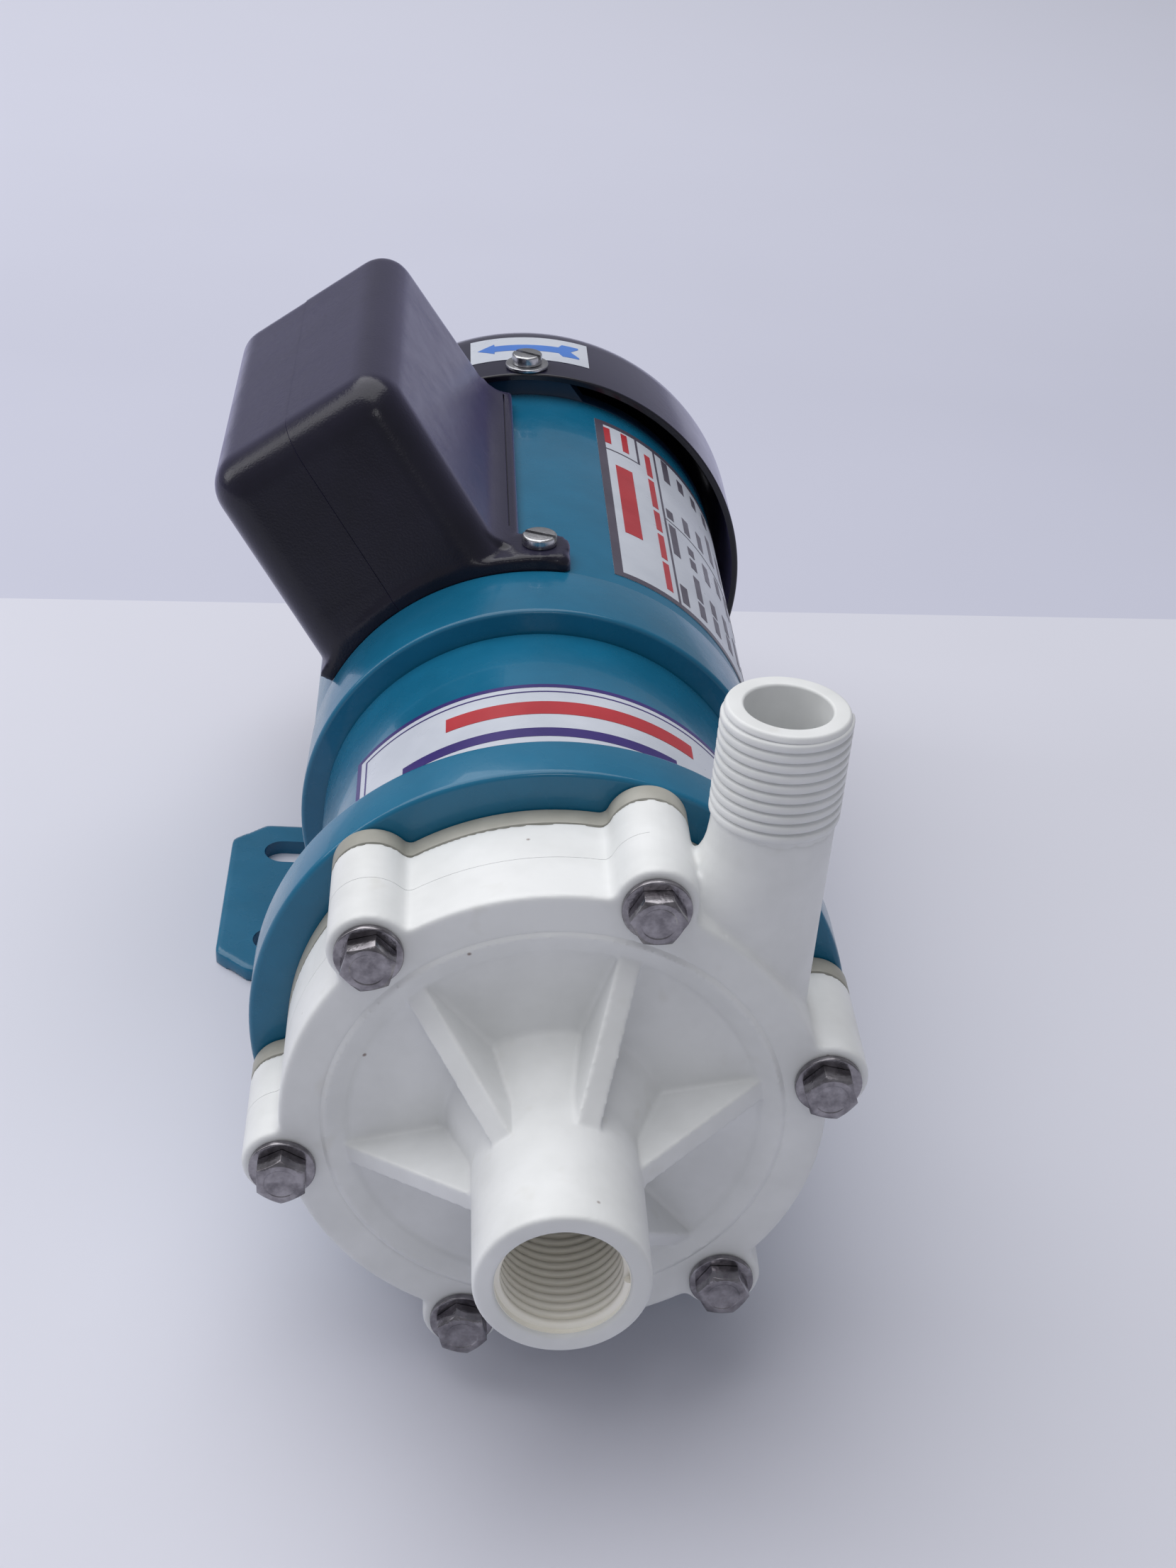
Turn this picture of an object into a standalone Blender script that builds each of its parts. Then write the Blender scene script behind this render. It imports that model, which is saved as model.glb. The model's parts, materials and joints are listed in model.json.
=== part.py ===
import bpy
import bmesh
from math import acos, asin, copysign, cos, degrees, pi, radians, sin, sqrt
from mathutils import Matrix, Vector

# Sizes are in millimetres. The foot's underside is at z = 0 and its middle at x = y = 0.
# The shaft runs along +Y, the suction port faces -Y and the discharge port points up.
MM = 0.001
SEGMENTS = 36
ROUND_MEDIUM = 24
ROUND_SMALL = 12

# Clearances
SEAT_GAP = 0.3
HARDWARE_GAP = 0.1
HOLE_CLEARANCE = 0.3
RUNNING_FIT = 0.05
AIR_GAP = 0.5
CUT_OVER = 1.0

# Foot and shaft height
GROUND_GAP = 7.5
FOOT_LENGTH = 60.6
FOOT_THICKNESS = 3.5
FOOT_CHAMFER_X = 8.0
FOOT_CHAMFER_Y = 7.0
SLOT_WIDTH = 9.0
SLOT_LENGTH = 14.0
SLOT_EDGE_X = 15.0
SLOT_EDGE_Y = 12.0
PEDESTAL_FROM_SLOT = 6.5
PEDESTAL_WRAP = 46.6
PEDESTAL_TAPER = 10.0
PEDESTAL_LIP = 4.0
PEDESTAL_INSET = 6.3
SADDLE_STEPS = 14
WINDOW_INNER = 5.0
WINDOW_SIDE = 15.0
WINDOW_TOP = 9.4

# Casing bolts
BOLT_COUNT = 6
BOLT_OFFSET = 0.4
BOLT_START = 13.6
BOLT_RADIUS = 3.0
HEAD_ACROSS_FLATS = 10.0
HEAD_HEIGHT = 3.4
WASHER_THICKNESS = 1.2
WASHER_RADIUS = 6.0
BOLT_THREAD_IN_BRACKET = 8.0

# Front casing
LOBE_MARGIN = 0.9
CASING_RADIUS = 45.6
CASING_REAR_LAND = 0.3
RECESS_RIM = 7.2
RECESS_SLOPE = 4.0
RECESS_DEPTH = 1.2
CHAMBER_RIM = 8.1
CHAMBER_FRONT_WALL = 5.6
SUCTION_BORE_RADIUS = 9.3
SUCTION_THREAD_LENGTH = 24.0
THROAT_STEP = 0.8
TUBE_WALL = 4.55
TUBE_LENGTH = 38.4
HUB_FLARE = 4.65
HUB_LENGTH = 10.0
RIB_THICKNESS = 4.0
RIB_LENGTH = 16.7
RIB_ROOT = 2.0
RIB_RUN_OUT = 2.0
MOUTH_CHAMFER = 1.2

# Discharge pipe
DISCHARGE_BORE_RADIUS = 7.0
DISCHARGE_WALL = 2.7
DISCHARGE_INSET = 6.1
DISCHARGE_FRONT_LAND = 1.6
DISCHARGE_TOP = 75.0
DISCHARGE_THREAD_LENGTH = 20.5
DISCHARGE_THREAD_HEIGHT = 0.78
THREAD_CHAMFER = 1.0
DISCHARGE_ROOT = 12.0

# Rear casing with its can
REAR_FLANGE_THICKNESS = 4.1
CAN_STEP = 8.5
CAN_WALL = 2.0
CAN_TO_BRACKET_REAR = 32.2
CAN_END_THICKNESS = 2.6
CAN_EDGE = 3.0
SPINDLE_RADIUS = 4.0
SPINDLE_NOSE = 0.7
SPINDLE_SEAT_WALL = 1.0
SPINDLE_SOCKET_RADIUS = 6.5
SPINDLE_SOCKET_DEPTH = 6.0
ORING_FROM_CHAMBER = 2.9
ORING_SECTION = 1.15
ORING_GROOVE = 1.5
ORING_SIDES = 8

# Impeller
IMPELLER_RIM_GAP = 4.5
IMPELLER_FRONT_GAP = 2.6
SHROUD_THICKNESS = 2.0
VANE_WIDTH = 5.0
VANE_THICKNESS = 2.0
VANE_COUNT = 6
VANE_SWEEP = 55.0
VANE_MARGIN = 1.0
VANE_STEPS = 5
BACK_DISC_THICKNESS = 2.5
EYE_RADIUS = 11.0
COLLAR_RADIUS = 13.0
MOUTH_RING_RADIUS = 16.0
CAPSULE_SIDE_GAP = 1.2
CAPSULE_END_GAP = 1.5
BUSH_RADIUS = 7.0
THRUST_RING_THICKNESS = 1.2

# Lantern bracket
FLANGE_THICKNESS = 10.9
LANTERN_RUNNING_GAP = 2.4
LANTERN_WALL = 2.6
LANTERN_LENGTH = 68.5
LANTERN_REAR_WALL = 5.2
LANTERN_BORE_GAP = 2.0
EDGE_ROUND = 0.8

# Drive yoke and its magnets
MAGNET_AIR_GAP = 1.2
MAGNET_THICKNESS = 3.2
MAGNET_SET_BACK = 1.0
MAGNET_END_GAP = 10.8
YOKE_WALL = 3.3
YOKE_FRONT_GAP = 3.5
YOKE_WEB_GAP = 3.0
YOKE_WEB = 7.0
YOKE_HUB_RADIUS = 12.0
YOKE_TO_NOSE = 4.0
GRUB_RADIUS = 2.0
GRUB_SUNK = 0.5

# Motor
SHIELD_STEP = 1.0
SHIELD_LENGTH = 18.5
SHIELD_EDGE = 3.0
SHIELD_WALL = 5.5
SHIELD_SKIRT = 3.5
HOUSING_RADIUS = 20.0
HOUSING_NOSE = 3.5
HOUSING_LIP = 2.5
HOUSING_BORE_LIP = 7.5
HOUSING_OVER = 1.2
FRAME_RADIUS = 46.5
FRAME_WALL = 3.3
FRAME_LENGTH = 95.4
FRAME_BEFORE_FOOT = 34.6
CORE_FROM_FRONT = 16.7
CORE_FROM_REAR = 21.7
STATOR_SPLIT = 0.5362
STATOR_SLOTS = 12
STATOR_SLOT_WIDTH = 4.0
STATOR_SLOT_DEPTH = 10.0
WINDING_LENGTH = 12.8
WINDING_SET_BACK = 3.0
WINDING_OUTER_GAP = 3.2
WINDING_SIDES = 10
WINDING_SQUARENESS = 0.6
END_RING_LENGTH = 5.0
END_RING_STEP = 2.0
BEARING_OUTER = 16.0
BEARING_BORE = 6.0
BEARING_LENGTH = 10.0
BEARING_RING = 3.2
SHAFT_RADIUS = 8.5
SHAFT_FRONT_RADIUS = 5.5
SHAFT_TAIL_RADIUS = 5.0
SHAFT_TAIL = 24.0
SHAFT_STEP_GAP = 1.0
REAR_SHIELD_FLANGE = 5.5
REAR_SPIGOT = 5.0
SPIGOT_WALL = 3.4
REAR_PLATE = 2.0
LUG_WIDTH = 9.0
LUG_ROOT = 3.0

# Fan and fan cover
COVER_STAND_OFF = 5.8
COVER_WALL = 1.5
COVER_LENGTH = 43.5
COVER_ROUND = 17.0
COVER_OVERLAP = 2.2
COVER_SCREW_COUNT = 3
COVER_SCREW_START = 93.0
COVER_SCREW_SET_BACK = 4.7
COVER_SCREW_REACH = 7.0
GRILLE_SLOTS = 16
GRILLE_SLOT_WIDTH = 3.0
GRILLE_INNER = 12.0
GRILLE_MARGIN = 1.3
FAN_TIP_GAP = 7.8
FAN_DISC = 2.0
FAN_BLADES = 8
FAN_BLADE_LENGTH = 14.0
FAN_BLADE_THICKNESS = 2.0
FAN_BLADE_INSET = 1.0
FAN_HUB_RADIUS = 9.0
FAN_SHIELD_GAP = 2.5

# Cheese-head screws of the fan cover, the terminal box and the foot
SCREW_RADIUS = 2.0
SCREW_HEAD_RADIUS = 3.9
SCREW_HEAD_HEIGHT = 2.6
SCREW_SLOT_WIDTH = 1.0
SCREW_SLOT_DEPTH = 1.2
SCREW_HEAD_EDGE = 0.5
COVER_WASHER_RADIUS = 4.6
COVER_WASHER_THICKNESS = 0.8

# Terminal box, drawn upright over the shaft and then tilted
BOX_TILT = 36.4
BOX_LEFT = -23.3
BOX_RIGHT = 20.6
BOX_SEAM = -3.0
BOX_HEIGHT = 40.7
BOX_SET_BACK = 5.6
BOX_COVER_GAP = 0.6
BOX_ROUND = 7.0
BOX_WALL = 2.5
BOX_FLOOR_HEIGHT = 3.2
BOX_ROOT = 7.8
BOX_FLANGE_THICKNESS = 2.8
FLANGE_ROOT = 3.0
BOX_FLANGE_START = 61.0
BOX_STRIP_SPAN = 7.3
BOX_FLARE = 8.0
FLARE_STEPS = 5
BOX_FLANGE_END = 114.0
EAR_ANGLE = 56.3
EAR_RADIUS = 6.2
EAR_PROUD = 0.1
POST_RADIUS = 4.0
POST_INSET = 11.4
LID_BOSS_RADIUS = 5.8
LID_BOSS_DEPTH = 7.0
LID_COUNTERBORE = 3.2
LID_SCREW_LENGTH = 14.0
CAPACITOR_RADIUS = 11.5
CAPACITOR_END_GAP = 17.5
TERMINAL_BLOCK_WIDTH = 24.0
TERMINAL_BLOCK_END_GAP = 23.5
TERMINAL_BLOCK_HEIGHT = 5.0

# Radii worked out from their neighbours
LOBE_RADIUS = WASHER_RADIUS + LOBE_MARGIN
BOLT_CIRCLE = 2 * (CASING_RADIUS + BOLT_OFFSET)
FLANGE_RADIUS = CASING_RADIUS + LOBE_RADIUS
AXIS_HEIGHT = FLANGE_RADIUS + GROUND_GAP
RECESS_RADIUS = CASING_RADIUS - RECESS_RIM
RECESS_FLOOR_RADIUS = RECESS_RADIUS - RECESS_SLOPE
CHAMBER_RADIUS = CASING_RADIUS - CHAMBER_RIM
ORING_CIRCLE = CHAMBER_RADIUS + ORING_FROM_CHAMBER
TUBE_RADIUS = SUCTION_BORE_RADIUS + TUBE_WALL
HUB_RADIUS = TUBE_RADIUS + HUB_FLARE
SUCTION_THROAT_RADIUS = SUCTION_BORE_RADIUS - THROAT_STEP
DISCHARGE_X = CHAMBER_RADIUS - DISCHARGE_INSET
DISCHARGE_PIPE_RADIUS = DISCHARGE_BORE_RADIUS + DISCHARGE_WALL
DISCHARGE_THREAD_RADIUS = DISCHARGE_PIPE_RADIUS + DISCHARGE_THREAD_HEIGHT
IMPELLER_RADIUS = CHAMBER_RADIUS - IMPELLER_RIM_GAP
CAN_RADIUS = CHAMBER_RADIUS - CAN_STEP
CAPSULE_RADIUS = CAN_RADIUS - CAN_WALL - CAPSULE_SIDE_GAP
MAGNET_INNER = CAN_RADIUS + MAGNET_AIR_GAP
MAGNET_OUTER = MAGNET_INNER + MAGNET_THICKNESS
YOKE_INNER = MAGNET_OUTER + HARDWARE_GAP
YOKE_OUTER = YOKE_INNER + YOKE_WALL
LANTERN_RADIUS = YOKE_OUTER + LANTERN_RUNNING_GAP + LANTERN_WALL
LANTERN_REAR_BORE = HOUSING_RADIUS + LANTERN_BORE_GAP
SHIELD_RADIUS = FRAME_RADIUS + SHIELD_STEP
FRAME_INNER = FRAME_RADIUS - FRAME_WALL
STATOR_OUTER = FRAME_INNER - SEAT_GAP
STATOR_BORE = STATOR_OUTER * STATOR_SPLIT
WINDING_INNER = STATOR_BORE + WINDING_SET_BACK
WINDING_OUTER = FRAME_INNER - WINDING_OUTER_GAP
ROTOR_RADIUS = STATOR_BORE - AIR_GAP
POCKET_RADIUS = BEARING_OUTER + HARDWARE_GAP
SADDLE_RADIUS = FRAME_RADIUS + SEAT_GAP
COVER_RADIUS = FRAME_RADIUS + COVER_STAND_OFF
COVER_INNER = COVER_RADIUS - COVER_WALL
GRILLE_OUTER = COVER_RADIUS - COVER_ROUND - GRILLE_MARGIN
FAN_RADIUS = COVER_INNER - FAN_TIP_GAP
BOLT_HOLE = BOLT_RADIUS + HOLE_CLEARANCE
SCREW_HOLE = SCREW_RADIUS + HOLE_CLEARANCE

# Stations along the shaft: the frame stands over the foot, and the pump end is worked out forwards
FRAME_FRONT = -FRAME_BEFORE_FOOT
SHIELD_REAR = FRAME_FRONT - SEAT_GAP
SHIELD_FRONT = SHIELD_REAR - SHIELD_LENGTH
BRACKET_REAR = SHIELD_FRONT - SEAT_GAP
BRACKET_FRONT = BRACKET_REAR - LANTERN_LENGTH
BRACKET_FLANGE_REAR = BRACKET_FRONT + FLANGE_THICKNESS
REAR_FLANGE_REAR = BRACKET_FRONT - SEAT_GAP
REAR_FLANGE_FRONT = REAR_FLANGE_REAR - REAR_FLANGE_THICKNESS
CASING_REAR = REAR_FLANGE_FRONT - SEAT_GAP
DISCHARGE_Y = CASING_REAR - CASING_REAR_LAND - DISCHARGE_PIPE_RADIUS
CASING_FRONT = DISCHARGE_Y - DISCHARGE_PIPE_RADIUS - DISCHARGE_FRONT_LAND
HEAD_FRONT = CASING_FRONT - HEAD_HEIGHT - WASHER_THICKNESS - 2 * HARDWARE_GAP
RECESS_FLOOR = CASING_FRONT + RECESS_DEPTH
CHAMBER_FRONT = RECESS_FLOOR + CHAMBER_FRONT_WALL
TUBE_FRONT = CASING_FRONT - TUBE_LENGTH
CAN_END = BRACKET_REAR - CAN_TO_BRACKET_REAR
CAN_FLOOR = CAN_END - CAN_END_THICKNESS
FRAME_REAR = FRAME_FRONT + FRAME_LENGTH
REAR_SHIELD_FRONT = FRAME_REAR + SEAT_GAP
REAR_SHIELD_REAR = REAR_SHIELD_FRONT + REAR_SHIELD_FLANGE
COVER_FRONT = FRAME_REAR - COVER_OVERLAP
COVER_REAR = COVER_FRONT + COVER_LENGTH
COVER_SCREW_Y = COVER_FRONT + COVER_SCREW_SET_BACK
CORE_FRONT = FRAME_FRONT + CORE_FROM_FRONT
CORE_REAR = FRAME_REAR - CORE_FROM_REAR
BOX_FRONT = FRAME_FRONT + BOX_SET_BACK
BOX_REAR = COVER_FRONT - BOX_COVER_GAP
NOSE_FRONT = SHIELD_FRONT - HOUSING_NOSE
FRONT_BEARING = NOSE_FRONT + HOUSING_LIP + SEAT_GAP
REAR_BEARING = REAR_SHIELD_REAR - HOUSING_LIP - SEAT_GAP - BEARING_LENGTH
SHOULDER_FRONT = FRONT_BEARING + BEARING_LENGTH + HARDWARE_GAP
SHOULDER_REAR = REAR_BEARING - HARDWARE_GAP
WEB_FRONT = CAN_END + YOKE_WEB_GAP
WEB_REAR = WEB_FRONT + YOKE_WEB
HUB_REAR = NOSE_FRONT - YOKE_TO_NOSE
YOKE_FRONT = BRACKET_FRONT + YOKE_FRONT_GAP
MAGNET_FRONT = YOKE_FRONT + MAGNET_SET_BACK
MAGNET_REAR = WEB_FRONT - MAGNET_END_GAP
SHAFT_FRONT = WEB_FRONT + YOKE_WEB / 2
SHAFT_REAR = REAR_SHIELD_REAR + SHAFT_TAIL
MOUTH_RING_FRONT = CHAMBER_FRONT + SEAT_GAP
SHROUD_FRONT = CHAMBER_FRONT + IMPELLER_FRONT_GAP
VANE_FRONT = SHROUD_FRONT + SHROUD_THICKNESS
VANE_REAR = VANE_FRONT + VANE_WIDTH
BACK_DISC_REAR = VANE_REAR + BACK_DISC_THICKNESS
CAPSULE_FRONT = BACK_DISC_REAR + SEAT_GAP
SOCKET_FRONT = CAN_FLOOR - SPINDLE_SOCKET_DEPTH
THRUST_RING_REAR = SOCKET_FRONT - SEAT_GAP
THRUST_RING_FRONT = THRUST_RING_REAR - THRUST_RING_THICKNESS
CAPSULE_REAR = THRUST_RING_FRONT - CAPSULE_END_GAP
SPINDLE_REAR = CAN_FLOOR - SPINDLE_SEAT_WALL
SPINDLE_FRONT = VANE_FRONT - SPINDLE_NOSE
FAN_FRONT = REAR_SHIELD_REAR + FAN_SHIELD_GAP
FAN_REAR = FAN_FRONT + FAN_DISC + FAN_BLADE_LENGTH

# Terminal box heights, and the foot's slots and pedestal
BOX_FLANGE_TOP = SADDLE_RADIUS + BOX_FLANGE_THICKNESS
BOX_TOP = SADDLE_RADIUS + BOX_HEIGHT
BOX_FLOOR = SADDLE_RADIUS + BOX_FLOOR_HEIGHT
PEDESTAL_TOP_WIDTH = 2 * SADDLE_RADIUS * sin(radians(PEDESTAL_WRAP))
PEDESTAL_WIDTH = PEDESTAL_TOP_WIDTH + PEDESTAL_TAPER
SLOT_SPACING_X = PEDESTAL_WIDTH + 2 * PEDESTAL_FROM_SLOT + SLOT_LENGTH
SLOT_SPACING_Y = FOOT_LENGTH - 2 * SLOT_EDGE_Y
FOOT_WIDTH = SLOT_SPACING_X + 2 * SLOT_EDGE_X
PEDESTAL_LENGTH = FOOT_LENGTH - 2 * PEDESTAL_INSET
WINDOW_OUTER = PEDESTAL_WIDTH / 2 - WINDOW_SIDE

COLOURS = {
    "casing_white": ((0.86, 0.86, 0.84), 0.42, 0.0),
    "casing_cream": ((0.78, 0.76, 0.68), 0.45, 0.0),
    "teal_enamel": ((0.05, 0.26, 0.36), 0.3, 0.0),
    "box_black": ((0.02, 0.02, 0.03), 0.35, 0.0),
    "cover_black": ((0.015, 0.015, 0.02), 0.2, 0.0),
    "stainless": ((0.55, 0.55, 0.56), 0.3, 1.0),
    "bearing_steel": ((0.6, 0.6, 0.62), 0.2, 1.0),
    "shaft_steel": ((0.5, 0.5, 0.52), 0.25, 1.0),
    "core_steel": ((0.3, 0.3, 0.31), 0.5, 0.8),
    "copper": ((0.7, 0.32, 0.15), 0.35, 0.8),
    "magnet": ((0.12, 0.12, 0.13), 0.4, 0.6),
    "ceramic": ((0.85, 0.82, 0.74), 0.2, 0.0),
    "carbon": ((0.04, 0.04, 0.045), 0.5, 0.0),
    "rubber": ((0.02, 0.02, 0.02), 0.7, 0.0),
    "impeller_plastic": ((0.75, 0.76, 0.74), 0.45, 0.0),
    "fan_plastic": ((0.1, 0.11, 0.12), 0.5, 0.0),
    "capacitor_white": ((0.7, 0.7, 0.68), 0.4, 0.0),
}


def clear_scene():
    for old in list(bpy.data.objects):
        bpy.data.objects.remove(old, do_unlink=True)


def material(name):
    colour, roughness, metallic = COLOURS[name]
    made = bpy.data.materials.get(name) or bpy.data.materials.new(name)
    made.use_nodes = True
    shader = made.node_tree.nodes["Principled BSDF"]
    shader.inputs["Base Color"].default_value = (*colour, 1.0)
    shader.inputs["Roughness"].default_value = roughness
    shader.inputs["Metallic"].default_value = metallic
    made.diffuse_color = (*colour, 1.0)
    return made


def axis_empty(name, tilt=0.0):
    empty = bpy.data.objects.new(name, None)
    bpy.context.collection.objects.link(empty)
    empty.location = (0.0, 0.0, AXIS_HEIGHT * MM)
    empty.rotation_euler = (0.0, -radians(tilt), 0.0)
    return empty


def place(body, parent, matrix=None):
    body.parent = parent
    if matrix is not None:
        body.matrix_basis = matrix


def make_object(name, bm):
    bmesh.ops.recalc_face_normals(bm, faces=bm.faces)
    mesh = bpy.data.meshes.new(name)
    bm.to_mesh(mesh)
    bm.free()
    body = bpy.data.objects.new(name, mesh)
    bpy.context.collection.objects.link(body)
    return body


def solid(name, bm, colour, parent=None, matrix=None):
    body = make_object(name, bm)
    body.data.materials.append(material(colour))
    place(body, parent, matrix)
    return body


def combine(target, name, bm, operation, parent=None, matrix=None):
    tool = make_object(name, bm)
    tool.hide_render = True
    tool.display_type = 'WIRE'
    place(tool, parent if parent else target.parent, matrix)
    modifier = target.modifiers.new(name, 'BOOLEAN')
    modifier.operation = operation
    modifier.solver = 'EXACT'
    modifier.object = tool


def add_faces(bm, rings, closed):
    pairs = list(zip(rings, rings[1:]))
    if closed:
        pairs.append((rings[-1], rings[0]))
    for ring, other in pairs:
        count = max(len(ring), len(other))
        if count == 1:
            continue
        for i in range(count):
            j = (i + 1) % count
            corners = (ring[i % len(ring)], ring[j % len(ring)],
                       other[j % len(other)], other[i % len(other)])
            bm.faces.new(list(dict.fromkeys(corners)))


# The profile is a closed loop of (station, radius) points turned about the Y axis.
def revolve(profile, segments=SEGMENTS, matrix=None, bm=None):
    bm = bm or bmesh.new()
    matrix = matrix or Matrix()
    rings = []
    for y, radius in profile:
        count = segments if radius > 0 else 1
        ring = []
        for i in range(count):
            angle = 2 * pi * i / count
            point = Vector((radius * cos(angle), y, radius * sin(angle))) * MM
            ring.append(bm.verts.new(matrix @ point))
        rings.append(ring)
    add_faces(bm, rings, closed=True)
    return bm


def ring_profile(front, rear, inner, outer):
    return [(front, inner), (front, outer), (rear, outer), (rear, inner)]


def rod_profile(front, rear, radius):
    return [(front, 0.0), (front, radius), (rear, radius), (rear, 0.0)]


# The outline is a list of (x, z) points, extruded along Y.
def prism(outline, front, rear, matrix=None, bm=None):
    bm = bm or bmesh.new()
    matrix = matrix or Matrix()
    rings = []
    for y in (front, rear):
        rings.append([bm.verts.new(matrix @ (Vector((x, y, z)) * MM)) for x, z in outline])
    add_faces(bm, rings, closed=False)
    bm.faces.new(rings[0])
    bm.faces.new(rings[1])
    return bm


def block(low, high, matrix=None, bm=None):
    outline = [(low[0], low[2]), (high[0], low[2]), (high[0], high[2]), (low[0], high[2])]
    return prism(outline, low[1], high[1], matrix, bm)


def arc(centre_x, centre_z, radius, start, end, steps):
    points = []
    for i in range(steps + 1):
        angle = radians(start + (end - start) * i / steps)
        points.append((centre_x + radius * cos(angle), centre_z + radius * sin(angle)))
    return points


def about_shaft(angle):
    return Matrix.Rotation(-radians(angle), 4, 'Y')


# Stands a piece that was drawn along Y on the shaft's surface, pointing outwards.
def radial(angle, y, radius=0.0):
    turn = Matrix.Rotation(-radians(angle - 90.0), 4, 'Y')
    lift = Matrix.Translation(Vector((0.0, y, radius)) * MM)
    upright = Matrix.Rotation(radians(90.0), 4, 'X')
    return turn @ lift @ upright


def at_angle(radius, angle):
    return radius * cos(radians(angle)), radius * sin(radians(angle))


def bolt_angles():
    return [BOLT_START + i * 360.0 / BOLT_COUNT for i in range(BOLT_COUNT)]


# The casing's outline: a circle with a round lobe at each bolt.
def lobed_outline():
    circle = BOLT_CIRCLE / 2
    reach = (CASING_RADIUS ** 2 + circle ** 2 - LOBE_RADIUS ** 2) / (2 * circle)
    crossing_height = sqrt(CASING_RADIUS ** 2 - reach ** 2)
    half = degrees(asin(crossing_height / CASING_RADIUS))
    lobe_half = degrees(asin(min(1.0, crossing_height / LOBE_RADIUS)))
    if reach < circle:
        lobe_half = 180.0 - lobe_half
    outline = []
    for angle in bolt_angles():
        x, z = at_angle(circle, angle)
        outline += arc(x, z, LOBE_RADIUS, angle - lobe_half, angle + lobe_half, 10)
        step = 360.0 / BOLT_COUNT
        outline += arc(0, 0, CASING_RADIUS, angle + half, angle + step - half, 6)[1:-1]
    return outline


def bolt_holes(front, rear, radius, bm=None):
    for angle in bolt_angles():
        x, z = at_angle(BOLT_CIRCLE / 2, angle)
        move = Matrix.Translation(Vector((x, 0.0, z)) * MM)
        bm = revolve(rod_profile(front, rear, radius), ROUND_SMALL, move, bm)
    return bm


def front_casing(axis):
    body = solid("front_casing", prism(lobed_outline(), CASING_FRONT, CASING_REAR),
                 "casing_white", axis)
    before = CASING_FRONT - CUT_OVER
    wide = RECESS_RADIUS + CUT_OVER * RECESS_SLOPE / RECESS_DEPTH
    recess = [(before, 0.0), (before, wide), (RECESS_FLOOR, RECESS_FLOOR_RADIUS), (RECESS_FLOOR, 0.0)]
    combine(body, "front_recess", revolve(recess), 'DIFFERENCE')
    bury = RECESS_FLOOR + CHAMBER_FRONT_WALL / 2
    buried_hub = HUB_RADIUS + (bury - RECESS_FLOOR) * HUB_FLARE / HUB_LENGTH
    hub = [(TUBE_FRONT, 0.0), (TUBE_FRONT, TUBE_RADIUS), (RECESS_FLOOR - HUB_LENGTH, TUBE_RADIUS),
           (bury, buried_hub), (bury, 0.0)]
    ribs = None
    inner = TUBE_RADIUS - RIB_ROOT
    slope = RIB_LENGTH / (RECESS_FLOOR_RADIUS - TUBE_RADIUS)
    tip = CASING_FRONT - RIB_LENGTH - RIB_ROOT * slope
    outer = RECESS_FLOOR_RADIUS + RIB_RUN_OUT
    for angle in bolt_angles():
        side = [(inner, tip), (outer, CASING_FRONT + RIB_RUN_OUT * slope), (outer, bury), (inner, bury)]
        stand = about_shaft(angle) @ Matrix.Rotation(-pi / 2, 4, 'X')
        ribs = prism(side, -RIB_THICKNESS / 2, RIB_THICKNESS / 2, stand, ribs)
    combine(body, "front_ribs", ribs, 'UNION')
    combine(body, "suction_tube", revolve(hub), 'UNION')
    upright = Matrix.Translation(Vector((DISCHARGE_X, DISCHARGE_Y, 0.0)) * MM) @ Matrix.Rotation(pi / 2, 4, 'X')
    thread_low = DISCHARGE_TOP - DISCHARGE_THREAD_LENGTH
    pipe = [(DISCHARGE_ROOT, 0.0), (DISCHARGE_ROOT, DISCHARGE_PIPE_RADIUS),
            (thread_low, DISCHARGE_PIPE_RADIUS), (thread_low + THREAD_CHAMFER, DISCHARGE_THREAD_RADIUS),
            (DISCHARGE_TOP - THREAD_CHAMFER, DISCHARGE_THREAD_RADIUS),
            (DISCHARGE_TOP, DISCHARGE_THREAD_RADIUS - THREAD_CHAMFER), (DISCHARGE_TOP, 0.0)]
    combine(body, "discharge_pipe", revolve(pipe, SEGMENTS, upright), 'UNION')
    mouth = SUCTION_BORE_RADIUS + MOUTH_CHAMFER
    chamber = [(TUBE_FRONT - CUT_OVER, 0.0), (TUBE_FRONT - CUT_OVER, mouth + CUT_OVER),
               (TUBE_FRONT + MOUTH_CHAMFER, SUCTION_BORE_RADIUS),
               (TUBE_FRONT + SUCTION_THREAD_LENGTH, SUCTION_BORE_RADIUS),
               (TUBE_FRONT + SUCTION_THREAD_LENGTH, SUCTION_THROAT_RADIUS),
               (CHAMBER_FRONT, SUCTION_THROAT_RADIUS), (CHAMBER_FRONT, CHAMBER_RADIUS),
               (CASING_REAR + CUT_OVER, CHAMBER_RADIUS), (CASING_REAR + CUT_OVER, 0.0)]
    cuts = bolt_holes(CASING_FRONT - CUT_OVER, CASING_REAR + CUT_OVER, BOLT_HOLE, revolve(chamber))
    combine(body, "chamber_and_holes", cuts, 'DIFFERENCE')
    bore = rod_profile(DISCHARGE_ROOT, DISCHARGE_TOP + CUT_OVER, DISCHARGE_BORE_RADIUS)
    combine(body, "discharge_bore", revolve(bore, SEGMENTS, upright), 'DIFFERENCE')


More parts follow.
